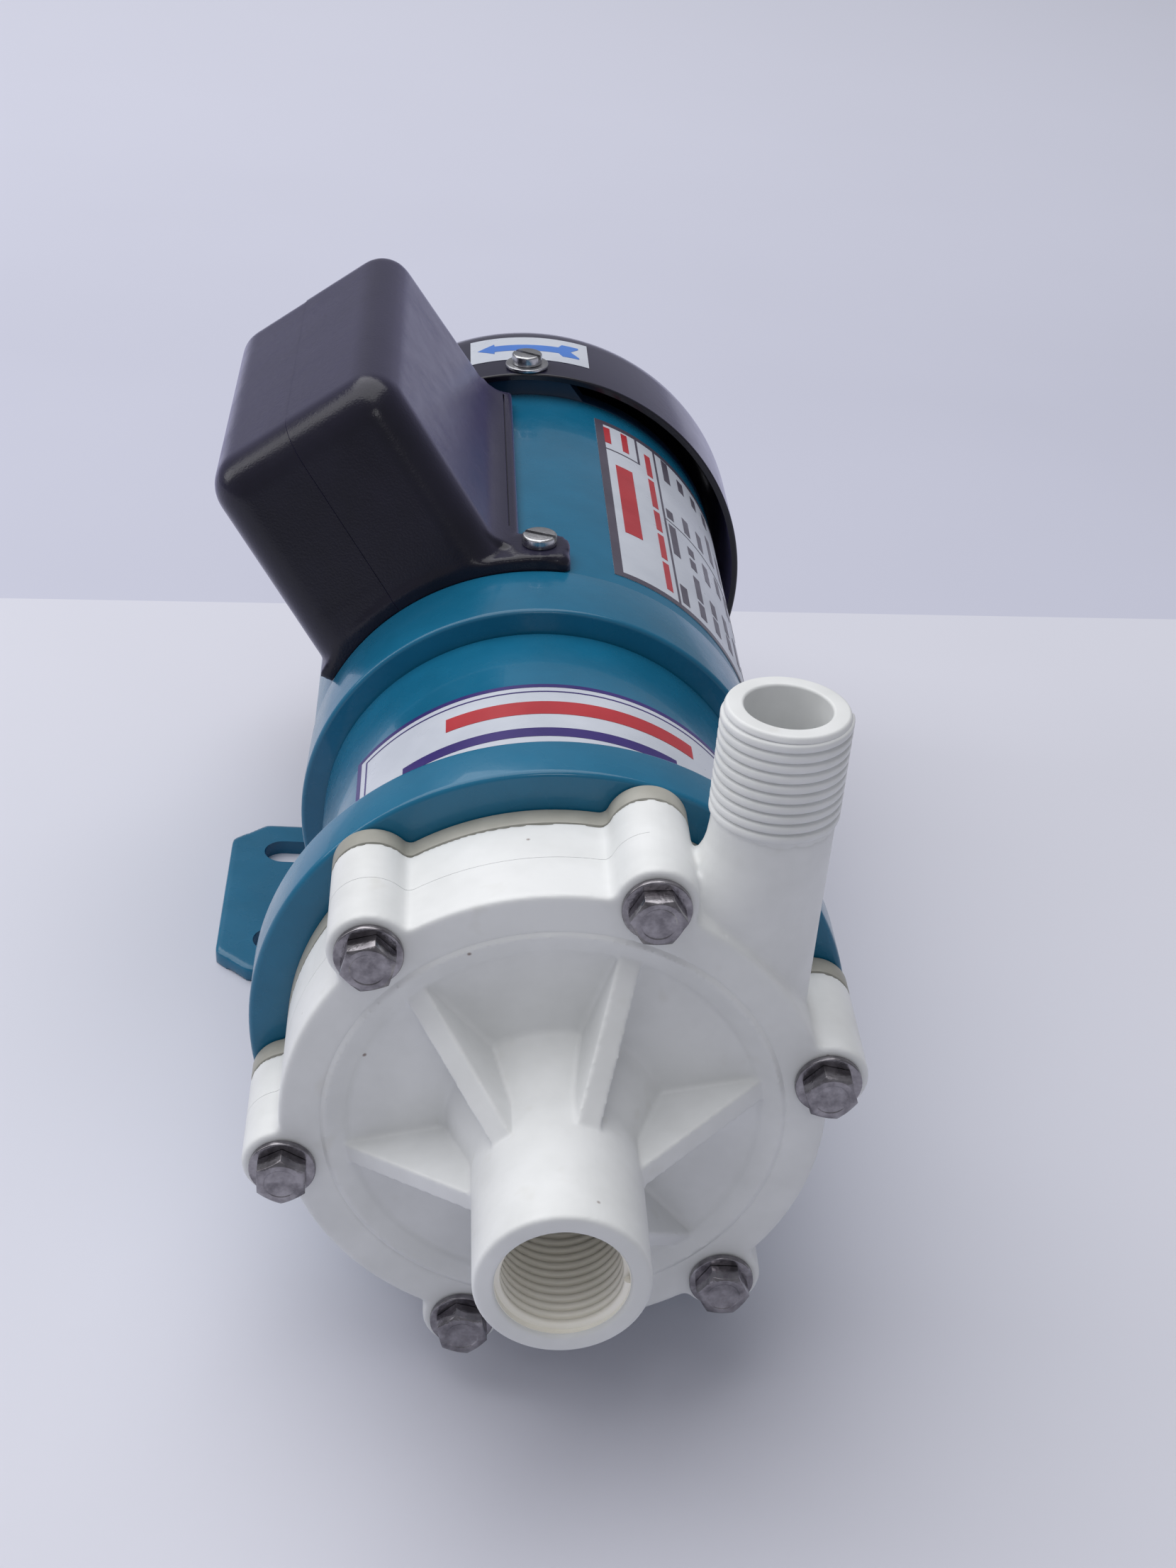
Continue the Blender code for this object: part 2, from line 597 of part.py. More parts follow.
def rear_casing(axis):
    body = solid("rear_casing", prism(lobed_outline(), REAR_FLANGE_FRONT, REAR_FLANGE_REAR),
                 "casing_cream", axis)
    can = rod_profile(REAR_FLANGE_FRONT + CUT_OVER, CAN_END, CAN_RADIUS)
    can[2:3] = [(CAN_END - CAN_EDGE, CAN_RADIUS), (CAN_END, CAN_RADIUS - CAN_EDGE)]
    combine(body, "can_outside", revolve(can), 'UNION')
    groove_floor = REAR_FLANGE_FRONT + 2 * ORING_SECTION
    socket = SPINDLE_RADIUS + HARDWARE_GAP
    before = REAR_FLANGE_FRONT - CUT_OVER
    inside = [(before, 0.0), (before, CAN_RADIUS - CAN_WALL), (CAN_FLOOR, CAN_RADIUS - CAN_WALL), (CAN_FLOOR, SPINDLE_SOCKET_RADIUS),
              (SOCKET_FRONT, SPINDLE_SOCKET_RADIUS), (SOCKET_FRONT, socket),
              (SPINDLE_REAR + HARDWARE_GAP, socket), (SPINDLE_REAR + HARDWARE_GAP, 0.0)]
    cuts = bolt_holes(before, REAR_FLANGE_REAR + CUT_OVER, BOLT_HOLE, revolve(inside))
    groove = ring_profile(before, groove_floor, ORING_CIRCLE - ORING_GROOVE, ORING_CIRCLE + ORING_GROOVE)
    combine(body, "can_inside", revolve(groove, bm=cuts), 'DIFFERENCE')
    centre = REAR_FLANGE_FRONT + ORING_SECTION - SEAT_GAP / 2
    section = arc(centre, ORING_CIRCLE, ORING_SECTION, 0, 360.0 - 360.0 / ORING_SIDES, ORING_SIDES - 1)
    solid("casing_o_ring", revolve(section), "rubber", axis)


def wet_end_inside(axis, turning):
    spindle = rod_profile(SPINDLE_FRONT, SPINDLE_REAR, SPINDLE_RADIUS)
    solid("pump_spindle", revolve(spindle), "ceramic", axis)
    mouth = ring_profile(MOUTH_RING_FRONT, SHROUD_FRONT - SEAT_GAP, COLLAR_RADIUS + SEAT_GAP, MOUTH_RING_RADIUS)
    solid("mouth_ring", revolve(mouth), "ceramic", axis)
    thrust = ring_profile(THRUST_RING_FRONT, THRUST_RING_REAR, SPINDLE_RADIUS + HARDWARE_GAP, SPINDLE_SOCKET_RADIUS)
    solid("rear_thrust_ring", revolve(thrust), "ceramic", axis)
    bush_bore = SPINDLE_RADIUS + RUNNING_FIT
    bush = ring_profile(CAPSULE_FRONT, CAPSULE_REAR, bush_bore, BUSH_RADIUS)
    solid("impeller_bush", revolve(bush), "carbon", turning)
    capsule = ring_profile(CAPSULE_FRONT, CAPSULE_REAR, BUSH_RADIUS + HARDWARE_GAP, CAPSULE_RADIUS)
    solid("impeller_magnet", revolve(capsule), "impeller_plastic", turning)
    impeller(turning)


def impeller(turning):
    collar_front = SHROUD_FRONT - IMPELLER_FRONT_GAP / 2
    shroud = [(collar_front, EYE_RADIUS), (collar_front, COLLAR_RADIUS), (SHROUD_FRONT, COLLAR_RADIUS),
              (SHROUD_FRONT, IMPELLER_RADIUS), (VANE_FRONT, IMPELLER_RADIUS), (VANE_FRONT, EYE_RADIUS)]
    body = solid("impeller", revolve(shroud), "impeller_plastic", turning)
    back = ring_profile(VANE_REAR, BACK_DISC_REAR, SPINDLE_RADIUS + HOLE_CLEARANCE, IMPELLER_RADIUS)
    combine(body, "back_disc", revolve(back), 'UNION')
    vanes = None
    overlap = SHROUD_THICKNESS / 2
    for i in range(VANE_COUNT):
        outline = []
        span = IMPELLER_RADIUS - EYE_RADIUS - 2 * VANE_MARGIN
        for offset, order in ((0.0, range(VANE_STEPS + 1)), (1.0, range(VANE_STEPS, -1, -1))):
            for k in order:
                share = k / VANE_STEPS
                radius = EYE_RADIUS + VANE_MARGIN + span * share
                sweep = 360.0 * i / VANE_COUNT - VANE_SWEEP * share
                sweep += offset * degrees(VANE_THICKNESS / radius)
                outline.append(at_angle(radius, sweep))
        vanes = prism(outline, VANE_FRONT - overlap, VANE_REAR + overlap, bm=vanes)
    combine(body, "vanes", vanes, 'UNION')


def casing_bolts(axis):
    corner = HEAD_ACROSS_FLATS / 2 / cos(radians(30.0))
    head_rear = HEAD_FRONT + HEAD_HEIGHT
    washer_front = head_rear + HARDWARE_GAP
    tip = BRACKET_FRONT + BOLT_THREAD_IN_BRACKET
    for number, angle in enumerate(bolt_angles(), 1):
        x, z = at_angle(BOLT_CIRCLE / 2, angle)
        spot = Matrix.Translation(Vector((x, 0.0, z)) * MM)
        hexagon = arc(0, 0, corner, 0, 300, 5)
        bolt = solid(f"casing_bolt_{number}", prism(hexagon, HEAD_FRONT, head_rear), "stainless", axis, spot)
        shank = rod_profile(head_rear - CUT_OVER, tip, BOLT_RADIUS)
        combine(bolt, f"bolt_shank_{number}", revolve(shank, ROUND_SMALL), 'UNION', axis, spot)
        washer = ring_profile(washer_front, washer_front + WASHER_THICKNESS, BOLT_HOLE, WASHER_RADIUS)
        solid(f"casing_washer_{number}", revolve(washer, ROUND_SMALL), "stainless", axis, spot)


def lantern_bracket(axis):
    inner = LANTERN_RADIUS - LANTERN_WALL
    r = EDGE_ROUND
    profile = [(BRACKET_FRONT, inner), (BRACKET_FRONT, FLANGE_RADIUS - r), (BRACKET_FRONT + r, FLANGE_RADIUS),
               (BRACKET_FLANGE_REAR - r, FLANGE_RADIUS), (BRACKET_FLANGE_REAR, FLANGE_RADIUS - r),
               (BRACKET_FLANGE_REAR, LANTERN_RADIUS), (BRACKET_REAR, LANTERN_RADIUS),
               (BRACKET_REAR, LANTERN_REAR_BORE), (BRACKET_REAR - LANTERN_REAR_WALL, LANTERN_REAR_BORE),
               (BRACKET_REAR - LANTERN_REAR_WALL, inner)]
    body = solid("lantern_bracket", revolve(profile), "teal_enamel", axis)
    holes = bolt_holes(BRACKET_FRONT - CUT_OVER, BRACKET_FLANGE_REAR + CUT_OVER, BOLT_RADIUS + HARDWARE_GAP)
    combine(body, "bracket_holes", holes, 'DIFFERENCE')


def drive_yoke(turning):
    bore = SHAFT_FRONT_RADIUS + HARDWARE_GAP
    profile = [(YOKE_FRONT, YOKE_INNER), (YOKE_FRONT, YOKE_OUTER), (WEB_REAR, YOKE_OUTER),
               (WEB_REAR, YOKE_HUB_RADIUS), (HUB_REAR, YOKE_HUB_RADIUS), (HUB_REAR, bore),
               (SHAFT_FRONT - HARDWARE_GAP, bore), (SHAFT_FRONT - HARDWARE_GAP, 0.0),
               (WEB_FRONT, 0.0), (WEB_FRONT, YOKE_INNER)]
    body = solid("drive_yoke", revolve(profile), "core_steel", turning)
    grub_y = (WEB_REAR + HUB_REAR) / 2
    hole = rod_profile(SHAFT_FRONT_RADIUS - CUT_OVER, YOKE_HUB_RADIUS + CUT_OVER, GRUB_RADIUS + HARDWARE_GAP)
    combine(body, "grub_hole", revolve(hole, ROUND_SMALL, radial(90.0, grub_y)), 'DIFFERENCE')
    grub = rod_profile(bore + HARDWARE_GAP, YOKE_HUB_RADIUS - GRUB_SUNK, GRUB_RADIUS)
    solid("yoke_grub_screw", revolve(grub, ROUND_SMALL), "stainless", turning, radial(90.0, grub_y))
    magnets = ring_profile(MAGNET_FRONT, MAGNET_REAR, MAGNET_INNER, MAGNET_OUTER)
    solid("drive_magnets", revolve(magnets), "magnet", turning)


def front_end_shield(axis):
    wall_rear = SHIELD_FRONT + SHIELD_WALL
    skirt = SHIELD_RADIUS - SHIELD_SKIRT
    housing_rear = FRONT_BEARING + BEARING_LENGTH + HOUSING_OVER
    profile = [(NOSE_FRONT, HOUSING_BORE_LIP), (NOSE_FRONT, HOUSING_RADIUS), (SHIELD_FRONT, HOUSING_RADIUS)]
    profile += arc(SHIELD_FRONT + SHIELD_EDGE, SHIELD_RADIUS - SHIELD_EDGE, SHIELD_EDGE, 180, 90, 4)
    profile += [(SHIELD_REAR, SHIELD_RADIUS), (SHIELD_REAR, skirt), (wall_rear, skirt),
                (wall_rear, HOUSING_RADIUS), (housing_rear, HOUSING_RADIUS), (housing_rear, POCKET_RADIUS),
                (NOSE_FRONT + HOUSING_LIP, POCKET_RADIUS), (NOSE_FRONT + HOUSING_LIP, HOUSING_BORE_LIP)]
    solid("front_end_shield", revolve(profile), "teal_enamel", axis)


def rear_end_shield(axis):
    spigot = FRAME_INNER - SEAT_GAP
    spigot_front = REAR_SHIELD_FRONT - REAR_SPIGOT
    plate_front = REAR_SHIELD_FRONT - REAR_PLATE
    housing_front = REAR_BEARING - HOUSING_OVER
    lip = REAR_SHIELD_REAR - HOUSING_LIP
    profile = [(housing_front, POCKET_RADIUS), (housing_front, HOUSING_RADIUS), (plate_front, HOUSING_RADIUS),
               (plate_front, spigot - SPIGOT_WALL), (spigot_front, spigot - SPIGOT_WALL), (spigot_front, spigot),
               (REAR_SHIELD_FRONT, spigot), (REAR_SHIELD_FRONT, FRAME_RADIUS),
               (REAR_SHIELD_REAR, FRAME_RADIUS), (REAR_SHIELD_REAR, HOUSING_BORE_LIP),
               (lip, HOUSING_BORE_LIP), (lip, POCKET_RADIUS)]
    body = solid("rear_end_shield", revolve(profile), "teal_enamel", axis)
    lugs = None
    holes = None
    lug_top = sqrt((COVER_INNER * cos(pi / SEGMENTS) - SEAT_GAP) ** 2 - (LUG_WIDTH / 2) ** 2)
    screw_tip = COVER_INNER - COVER_SCREW_REACH
    for angle in cover_screw_angles():
        low = (-LUG_WIDTH / 2, REAR_SHIELD_FRONT, FRAME_RADIUS - LUG_ROOT)
        lugs = block(low, (LUG_WIDTH / 2, REAR_SHIELD_REAR, lug_top), about_shaft(angle - 90.0), lugs)
        drill = rod_profile(screw_tip - CUT_OVER, lug_top + CUT_OVER, SCREW_HOLE)
        holes = revolve(drill, ROUND_SMALL, radial(angle, COVER_SCREW_Y), holes)
    combine(body, "cover_lugs", lugs, 'UNION')
    combine(body, "lug_holes", holes, 'DIFFERENCE')


# Fills the corners of a round section, as wound wire does.
def squarer(value):
    return copysign(abs(value) ** WINDING_SQUARENESS, value)


def motor_inside(axis, turning):
    frame = ring_profile(FRAME_FRONT, FRAME_REAR, FRAME_INNER, FRAME_RADIUS)
    solid("motor_frame", revolve(frame), "teal_enamel", axis)
    core = solid("stator_core", revolve(ring_profile(CORE_FRONT, CORE_REAR, STATOR_BORE, STATOR_OUTER)),
                 "core_steel", axis)
    slots = None
    for i in range(STATOR_SLOTS):
        low = (-STATOR_SLOT_WIDTH / 2, CORE_FRONT - CUT_OVER, STATOR_BORE - STATOR_SLOT_WIDTH / 2)
        high = (STATOR_SLOT_WIDTH / 2, CORE_REAR + CUT_OVER, STATOR_BORE + STATOR_SLOT_DEPTH)
        slots = block(low, high, about_shaft(i * 360.0 / STATOR_SLOTS), slots)
    combine(core, "stator_slots", slots, 'DIFFERENCE')
    middle = (WINDING_INNER + WINDING_OUTER) / 2
    half = (WINDING_OUTER - WINDING_INNER) / 2
    for name, near in (("front_winding", CORE_FRONT - SEAT_GAP - WINDING_LENGTH),
                       ("rear_winding", CORE_REAR + SEAT_GAP)):
        section = []
        for i in range(WINDING_SIDES):
            angle = 2 * pi * i / WINDING_SIDES
            reach = squarer(cos(angle)) * WINDING_LENGTH / 2
            section.append((near + WINDING_LENGTH / 2 + reach, middle + half * squarer(sin(angle))))
        solid(name, revolve(section), "copper", axis)
    ring = ROTOR_RADIUS - END_RING_STEP
    bore = SHAFT_RADIUS + HARDWARE_GAP
    rotor = [(CORE_FRONT - END_RING_LENGTH, bore), (CORE_FRONT - END_RING_LENGTH, ring), (CORE_FRONT, ring),
             (CORE_FRONT, ROTOR_RADIUS), (CORE_REAR, ROTOR_RADIUS), (CORE_REAR, ring),
             (CORE_REAR + END_RING_LENGTH, ring), (CORE_REAR + END_RING_LENGTH, bore)]
    solid("rotor_core", revolve(rotor), "core_steel", turning)
    step_front = HUB_REAR + SHAFT_STEP_GAP
    step_rear = REAR_SHIELD_REAR + SHAFT_STEP_GAP
    shaft = [(SHAFT_FRONT, 0.0), (SHAFT_FRONT, SHAFT_FRONT_RADIUS), (step_front, SHAFT_FRONT_RADIUS),
             (step_front, BEARING_BORE), (SHOULDER_FRONT, BEARING_BORE), (SHOULDER_FRONT, SHAFT_RADIUS),
             (SHOULDER_REAR, SHAFT_RADIUS), (SHOULDER_REAR, BEARING_BORE),
             (step_rear, BEARING_BORE), (step_rear, SHAFT_TAIL_RADIUS),
             (SHAFT_REAR, SHAFT_TAIL_RADIUS), (SHAFT_REAR, 0.0)]
    solid("motor_shaft", revolve(shaft), "shaft_steel", turning)
    for name, start in (("front", FRONT_BEARING), ("rear", REAR_BEARING)):
        inner = ring_profile(start, start + BEARING_LENGTH, BEARING_BORE + RUNNING_FIT,
                             BEARING_BORE + BEARING_RING)
        outer = ring_profile(start, start + BEARING_LENGTH, BEARING_OUTER - BEARING_RING, BEARING_OUTER)
        solid(f"{name}_bearing_inner_ring", revolve(inner), "bearing_steel", turning)
        solid(f"{name}_bearing_outer_ring", revolve(outer), "bearing_steel", axis)


def cover_screw_angles():
    return [COVER_SCREW_START + i * 360.0 / COVER_SCREW_COUNT for i in range(COVER_SCREW_COUNT)]


def cooling_fan(turning):
    bore = SHAFT_TAIL_RADIUS + HARDWARE_GAP
    disc_rear = FAN_FRONT + FAN_DISC
    profile = [(FAN_FRONT, bore), (FAN_FRONT, FAN_RADIUS), (disc_rear, FAN_RADIUS),
               (disc_rear, FAN_HUB_RADIUS), (FAN_REAR, FAN_HUB_RADIUS), (FAN_REAR, bore)]
    body = solid("cooling_fan", revolve(profile), "fan_plastic", turning)
    blades = None
    for i in range(FAN_BLADES):
        low = (-FAN_BLADE_THICKNESS / 2, disc_rear - FAN_DISC / 2, FAN_HUB_RADIUS - FAN_BLADE_THICKNESS)
        high = (FAN_BLADE_THICKNESS / 2, FAN_REAR - FAN_BLADE_INSET, FAN_RADIUS - FAN_BLADE_INSET)
        blades = block(low, high, about_shaft(i * 360.0 / FAN_BLADES), blades)
    combine(body, "fan_blades", blades, 'UNION')


def fan_cover(axis):
    round_inner = COVER_ROUND - COVER_WALL
    bend = COVER_REAR - COVER_ROUND
    profile = [(COVER_FRONT, COVER_INNER), (COVER_FRONT, COVER_RADIUS)]
    profile += arc(bend, COVER_RADIUS - COVER_ROUND, COVER_ROUND, 90, 0, 7)
    profile += [(COVER_REAR, 0.0), (COVER_REAR - COVER_WALL, 0.0)]
    profile += arc(bend, COVER_RADIUS - COVER_ROUND, round_inner, 0, 90, 7)
    body = solid("fan_cover", revolve(profile), "cover_black", axis)
    slots = None
    for i in range(GRILLE_SLOTS):
        low = (-GRILLE_SLOT_WIDTH / 2, COVER_REAR - COVER_WALL - CUT_OVER, GRILLE_INNER)
        high = (GRILLE_SLOT_WIDTH / 2, COVER_REAR + CUT_OVER, GRILLE_OUTER)
        slots = block(low, high, about_shaft(i * 360.0 / GRILLE_SLOTS), slots)
    combine(body, "grille_slots", slots, 'DIFFERENCE')
    holes = None
    washer_low = COVER_RADIUS + HARDWARE_GAP
    head_low = washer_low + COVER_WASHER_THICKNESS + HARDWARE_GAP
    for number, angle in enumerate(cover_screw_angles(), 1):
        spot = radial(angle, COVER_SCREW_Y)
        drill = rod_profile(COVER_INNER - CUT_OVER, COVER_RADIUS + CUT_OVER, SCREW_HOLE)
        holes = revolve(drill, ROUND_SMALL, spot, holes)
        cheese_screw(f"fan_cover_screw_{number}", axis, spot, head_low, COVER_INNER - COVER_SCREW_REACH)
        washer = ring_profile(washer_low, washer_low + COVER_WASHER_THICKNESS, SCREW_HOLE, COVER_WASHER_RADIUS)
        solid(f"fan_cover_washer_{number}", revolve(washer, ROUND_SMALL), "stainless", axis, spot)
    combine(body, "cover_holes", holes, 'DIFFERENCE')


# The screw points along its own Y: the tip at one station, the head above the other.
def cheese_screw(name, parent, spot, head_low, tip):
    top = head_low + SCREW_HEAD_HEIGHT
    profile = [(tip, 0.0), (tip, SCREW_RADIUS), (head_low, SCREW_RADIUS), (head_low, SCREW_HEAD_RADIUS),
               (top - SCREW_HEAD_EDGE, SCREW_HEAD_RADIUS), (top, SCREW_HEAD_RADIUS - SCREW_HEAD_EDGE), (top, 0.0)]
    body = solid(name, revolve(profile, ROUND_SMALL), "stainless", parent, spot)
    wide = SCREW_HEAD_RADIUS + CUT_OVER
    half = SCREW_SLOT_WIDTH / 2
    slot = block((-wide, top - SCREW_SLOT_DEPTH, -half), (wide, top + CUT_OVER, half))
    combine(body, f"{name}_slot", slot, 'DIFFERENCE', parent, spot)


# A block with every edge round but those of its underside.
def rounded_block(low, high, radius):
    bm = block(low, high)
    middle = (low[2] + high[2]) / 2 * MM
    edges = [edge for edge in bm.edges if max(vert.co.z for vert in edge.verts) > middle]
    bmesh.ops.bevel(bm, geom=edges, offset=radius * MM, segments=3, profile=0.5, affect='EDGES')
    return bm


def sector(inner, outer, start, end, front, rear, bm=None):
    steps = max(2, int(abs(end - start) / 7.0))
    outline = arc(0, 0, outer, start, end, steps) + arc(0, 0, inner, end, start, steps)
    return prism(outline, front, rear, bm=bm)


# One half of the box: the whole block with its flange, cut along the seam.
def box_shell(name, tilted, keep_low, keep_high):
    low = (BOX_LEFT, BOX_FRONT, sqrt(SADDLE_RADIUS ** 2 - BOX_LEFT ** 2) - BOX_ROOT)
    high = (BOX_RIGHT, BOX_REAR, BOX_TOP)
    body = solid(name, rounded_block(low, high, BOX_ROUND), "box_black", tilted)
    flange = sector(SADDLE_RADIUS - FLANGE_ROOT, BOX_FLANGE_TOP, EAR_ANGLE, BOX_FLANGE_END,
                    FRAME_FRONT, BOX_FRONT + BOX_WALL / 2)
    combine(body, f"{name}_flange", flange, 'UNION')
    keep = block((keep_low, FRAME_FRONT - CUT_OVER, 0.0), (keep_high, BOX_REAR + CUT_OVER, BOX_TOP + CUT_OVER))
    combine(body, f"{name}_half", keep, 'INTERSECT')
    return body


def hollow_shell(body, name):
    low = (BOX_LEFT + BOX_WALL, BOX_FRONT + BOX_WALL, BOX_FLOOR)
    high = (BOX_RIGHT - BOX_WALL, BOX_REAR - BOX_WALL, BOX_TOP - BOX_WALL)
    combine(body, f"{name}_inside", rounded_block(low, high, BOX_ROUND - BOX_WALL), 'DIFFERENCE')


def seat_on_motor(body, name):
    motor = rod_profile(FRAME_FRONT - CUT_OVER, BOX_REAR + CUT_OVER, SADDLE_RADIUS)
    combine(body, f"{name}_saddle", revolve(motor), 'DIFFERENCE')


def post_stations():
    return (BOX_FRONT + POST_INSET, BOX_REAR - POST_INSET)


def across(y, height):
    return Matrix.Translation(Vector((0.0, y, height)) * MM) @ Matrix.Rotation(-pi / 2, 4, 'Z')


# The strip along the right foot of the box, with the hollow curve that runs up from it into the wall.
def strip_outline(inside):
    end = BOX_FLANGE_START + BOX_STRIP_SPAN
    outline = arc(0, 0, inside, end, BOX_FLANGE_START, 2)
    toe_x, toe_z = at_angle(BOX_FLANGE_TOP, BOX_FLANGE_START)
    centre_x = BOX_RIGHT + BOX_FLARE
    down = degrees(acos((centre_x - toe_x) / BOX_FLARE))
    centre_z = toe_z + BOX_FLARE * sin(radians(down))
    flare = arc(centre_x, centre_z, BOX_FLARE, 180.0 + down, 180.0, FLARE_STEPS)
    return outline + flare[:-1] + [(BOX_RIGHT - BOX_WALL / 2, centre_z)]


def terminal_box(tilted):
    base = box_shell("terminal_box_base", tilted, BOX_SEAM + SEAT_GAP / 2, BOX_FLANGE_TOP)
    hollow_shell(base, "box_base")
    inside = SADDLE_RADIUS - FLANGE_ROOT
    strip = prism(strip_outline(inside), BOX_FRONT, BOX_REAR - BOX_ROUND / 2)
    combine(base, "base_strip", strip, 'UNION')
    ear_y = FRAME_FRONT + EAR_RADIUS + HARDWARE_GAP
    ear = revolve(rod_profile(inside - CUT_OVER, BOX_FLANGE_TOP + EAR_PROUD, EAR_RADIUS), ROUND_MEDIUM,
                  radial(EAR_ANGLE, ear_y))
    combine(base, "base_ear", ear, 'UNION')
    posts = None
    pilots = None
    post_height = BOX_TOP - POST_INSET
    boss_end = BOX_LEFT + LID_BOSS_DEPTH
    post_end = boss_end + SEAT_GAP
    for y in post_stations():
        posts = revolve(rod_profile(post_end, BOX_RIGHT - BOX_WALL / 2, POST_RADIUS), ROUND_SMALL,
                        across(y, post_height), posts)
        pilot = rod_profile(post_end - CUT_OVER, post_end + LID_SCREW_LENGTH, SCREW_RADIUS + HARDWARE_GAP)
        pilots = revolve(pilot, ROUND_SMALL, across(y, post_height), pilots)
    combine(base, "base_posts", posts, 'UNION')
    hole = rod_profile(inside, BOX_FLANGE_TOP + CUT_OVER, SCREW_HOLE)
    pilots = revolve(hole, ROUND_SMALL, radial(EAR_ANGLE, ear_y), pilots)
    seat_on_motor(base, "box_base")
    combine(base, "base_holes", pilots, 'DIFFERENCE')
    cheese_screw("box_screw", tilted, radial(EAR_ANGLE, ear_y), BOX_FLANGE_TOP + HARDWARE_GAP,
                 FRAME_RADIUS + HARDWARE_GAP)

    lid = box_shell("terminal_box_lid", tilted, -BOX_FLANGE_TOP, BOX_SEAM - SEAT_GAP / 2)
    hollow_shell(lid, "box_lid")
    bosses = None
    holes = None
    seat = BOX_LEFT + LID_COUNTERBORE
    wide = SCREW_HEAD_RADIUS + HOLE_CLEARANCE
    for number, y in enumerate(post_stations(), 1):
        spot = across(y, post_height)
        boss = rod_profile(BOX_LEFT + BOX_WALL / 2, boss_end, LID_BOSS_RADIUS)
        bosses = revolve(boss, ROUND_SMALL, spot, bosses)
        drill = [(BOX_LEFT - CUT_OVER, 0.0), (BOX_LEFT - CUT_OVER, wide), (seat, wide), (seat, SCREW_HOLE),
                 (boss_end + CUT_OVER, SCREW_HOLE), (boss_end + CUT_OVER, 0.0)]
        holes = revolve(drill, ROUND_SMALL, spot, holes)
        cheese_screw(f"lid_screw_{number}", tilted, spot @ Matrix.Rotation(pi, 4, 'X'), -seat + HARDWARE_GAP,
                     -post_end - LID_SCREW_LENGTH + CUT_OVER)
    combine(lid, "lid_bosses", bosses, 'UNION')
    seat_on_motor(lid, "box_lid")
    combine(lid, "lid_holes", holes, 'DIFFERENCE')
    box_inside(tilted)


def box_inside(tilted):
    floor = BOX_FLOOR + SEAT_GAP
    low = (-TERMINAL_BLOCK_WIDTH / 2, BOX_FRONT + TERMINAL_BLOCK_END_GAP, floor)
    high = (TERMINAL_BLOCK_WIDTH / 2, BOX_REAR - TERMINAL_BLOCK_END_GAP, floor + TERMINAL_BLOCK_HEIGHT)
    solid("terminal_block", block(low, high), "box_black", tilted)
    height = floor + TERMINAL_BLOCK_HEIGHT + SEAT_GAP + CAPACITOR_RADIUS
    spot = Matrix.Translation(Vector((0.0, 0.0, height)) * MM)
    can = rod_profile(BOX_FRONT + CAPACITOR_END_GAP, BOX_REAR - CAPACITOR_END_GAP, CAPACITOR_RADIUS)
    solid("run_capacitor", revolve(can, ROUND_MEDIUM), "capacitor_white", tilted, spot)


def foot():
    half_x = FOOT_WIDTH / 2
    half_y = FOOT_LENGTH / 2
    flat = [(-half_x, -half_y + FOOT_CHAMFER_Y), (-half_x + FOOT_CHAMFER_X, -half_y),
            (half_x - FOOT_CHAMFER_X, -half_y), (half_x, -half_y + FOOT_CHAMFER_Y),
            (half_x, half_y - FOOT_CHAMFER_Y), (half_x - FOOT_CHAMFER_X, half_y),
            (-half_x + FOOT_CHAMFER_X, half_y), (-half_x, half_y - FOOT_CHAMFER_Y)]
    lay = Matrix.Rotation(pi / 2, 4, 'X')
    body = solid("foot", prism(flat, 0.0, FOOT_THICKNESS, lay), "teal_enamel")
    top_half = PEDESTAL_TOP_WIDTH / 2
    rise = SADDLE_RADIUS * cos(radians(PEDESTAL_WRAP))
    outline = [(-PEDESTAL_WIDTH / 2, FOOT_THICKNESS / 2), (PEDESTAL_WIDTH / 2, FOOT_THICKNESS / 2),
               (top_half + PEDESTAL_LIP, AXIS_HEIGHT - rise)]
    outline += arc(0, AXIS_HEIGHT, SADDLE_RADIUS, -90.0 + PEDESTAL_WRAP, -90.0 - PEDESTAL_WRAP, SADDLE_STEPS)
    outline += [(-top_half - PEDESTAL_LIP, AXIS_HEIGHT - rise)]
    pedestal = prism(outline, -PEDESTAL_LENGTH / 2, PEDESTAL_LENGTH / 2)
    combine(body, "pedestal", pedestal, 'UNION')
    cuts = None
    reach = FOOT_LENGTH / 2
    for side_sign in (-1, 1):
        inner, outer = sorted((side_sign * WINDOW_INNER, side_sign * WINDOW_OUTER))
        cuts = block((inner, -reach, FOOT_THICKNESS), (outer, reach, WINDOW_TOP), bm=cuts)
        for y_sign in (-1, 1):
            cuts = slot_cutter(side_sign * SLOT_SPACING_X / 2, y_sign * SLOT_SPACING_Y / 2, cuts)
    combine(body, "foot_cuts", cuts, 'DIFFERENCE')


def slot_cutter(x, y, bm):
    straight = (SLOT_LENGTH - SLOT_WIDTH) / 2
    outline = arc(x + straight, y, SLOT_WIDTH / 2, -90, 90, 8) + arc(x - straight, y, SLOT_WIDTH / 2, 90, 270, 8)
    lay = Matrix.Rotation(pi / 2, 4, 'X')
    return prism(outline, -CUT_OVER, FOOT_THICKNESS + CUT_OVER, lay, bm)


def build():
    clear_scene()
    axis = axis_empty("pump_axis")
    rotor_axis = axis_empty("rotor_axis")
    impeller_axis = axis_empty("impeller_axis")
    tilted = axis_empty("box_axis", BOX_TILT)
    front_casing(axis)
    rear_casing(axis)
    wet_end_inside(axis, impeller_axis)
    casing_bolts(axis)
    lantern_bracket(axis)
    drive_yoke(rotor_axis)
    front_end_shield(axis)
    rear_end_shield(axis)
    motor_inside(axis, rotor_axis)
    cooling_fan(rotor_axis)
    fan_cover(axis)
    terminal_box(tilted)
    foot()


build()
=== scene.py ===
import json
import bpy
from math import acos, atan2, cos, degrees, pi, radians, sin, tan
from mathutils import Matrix, Vector


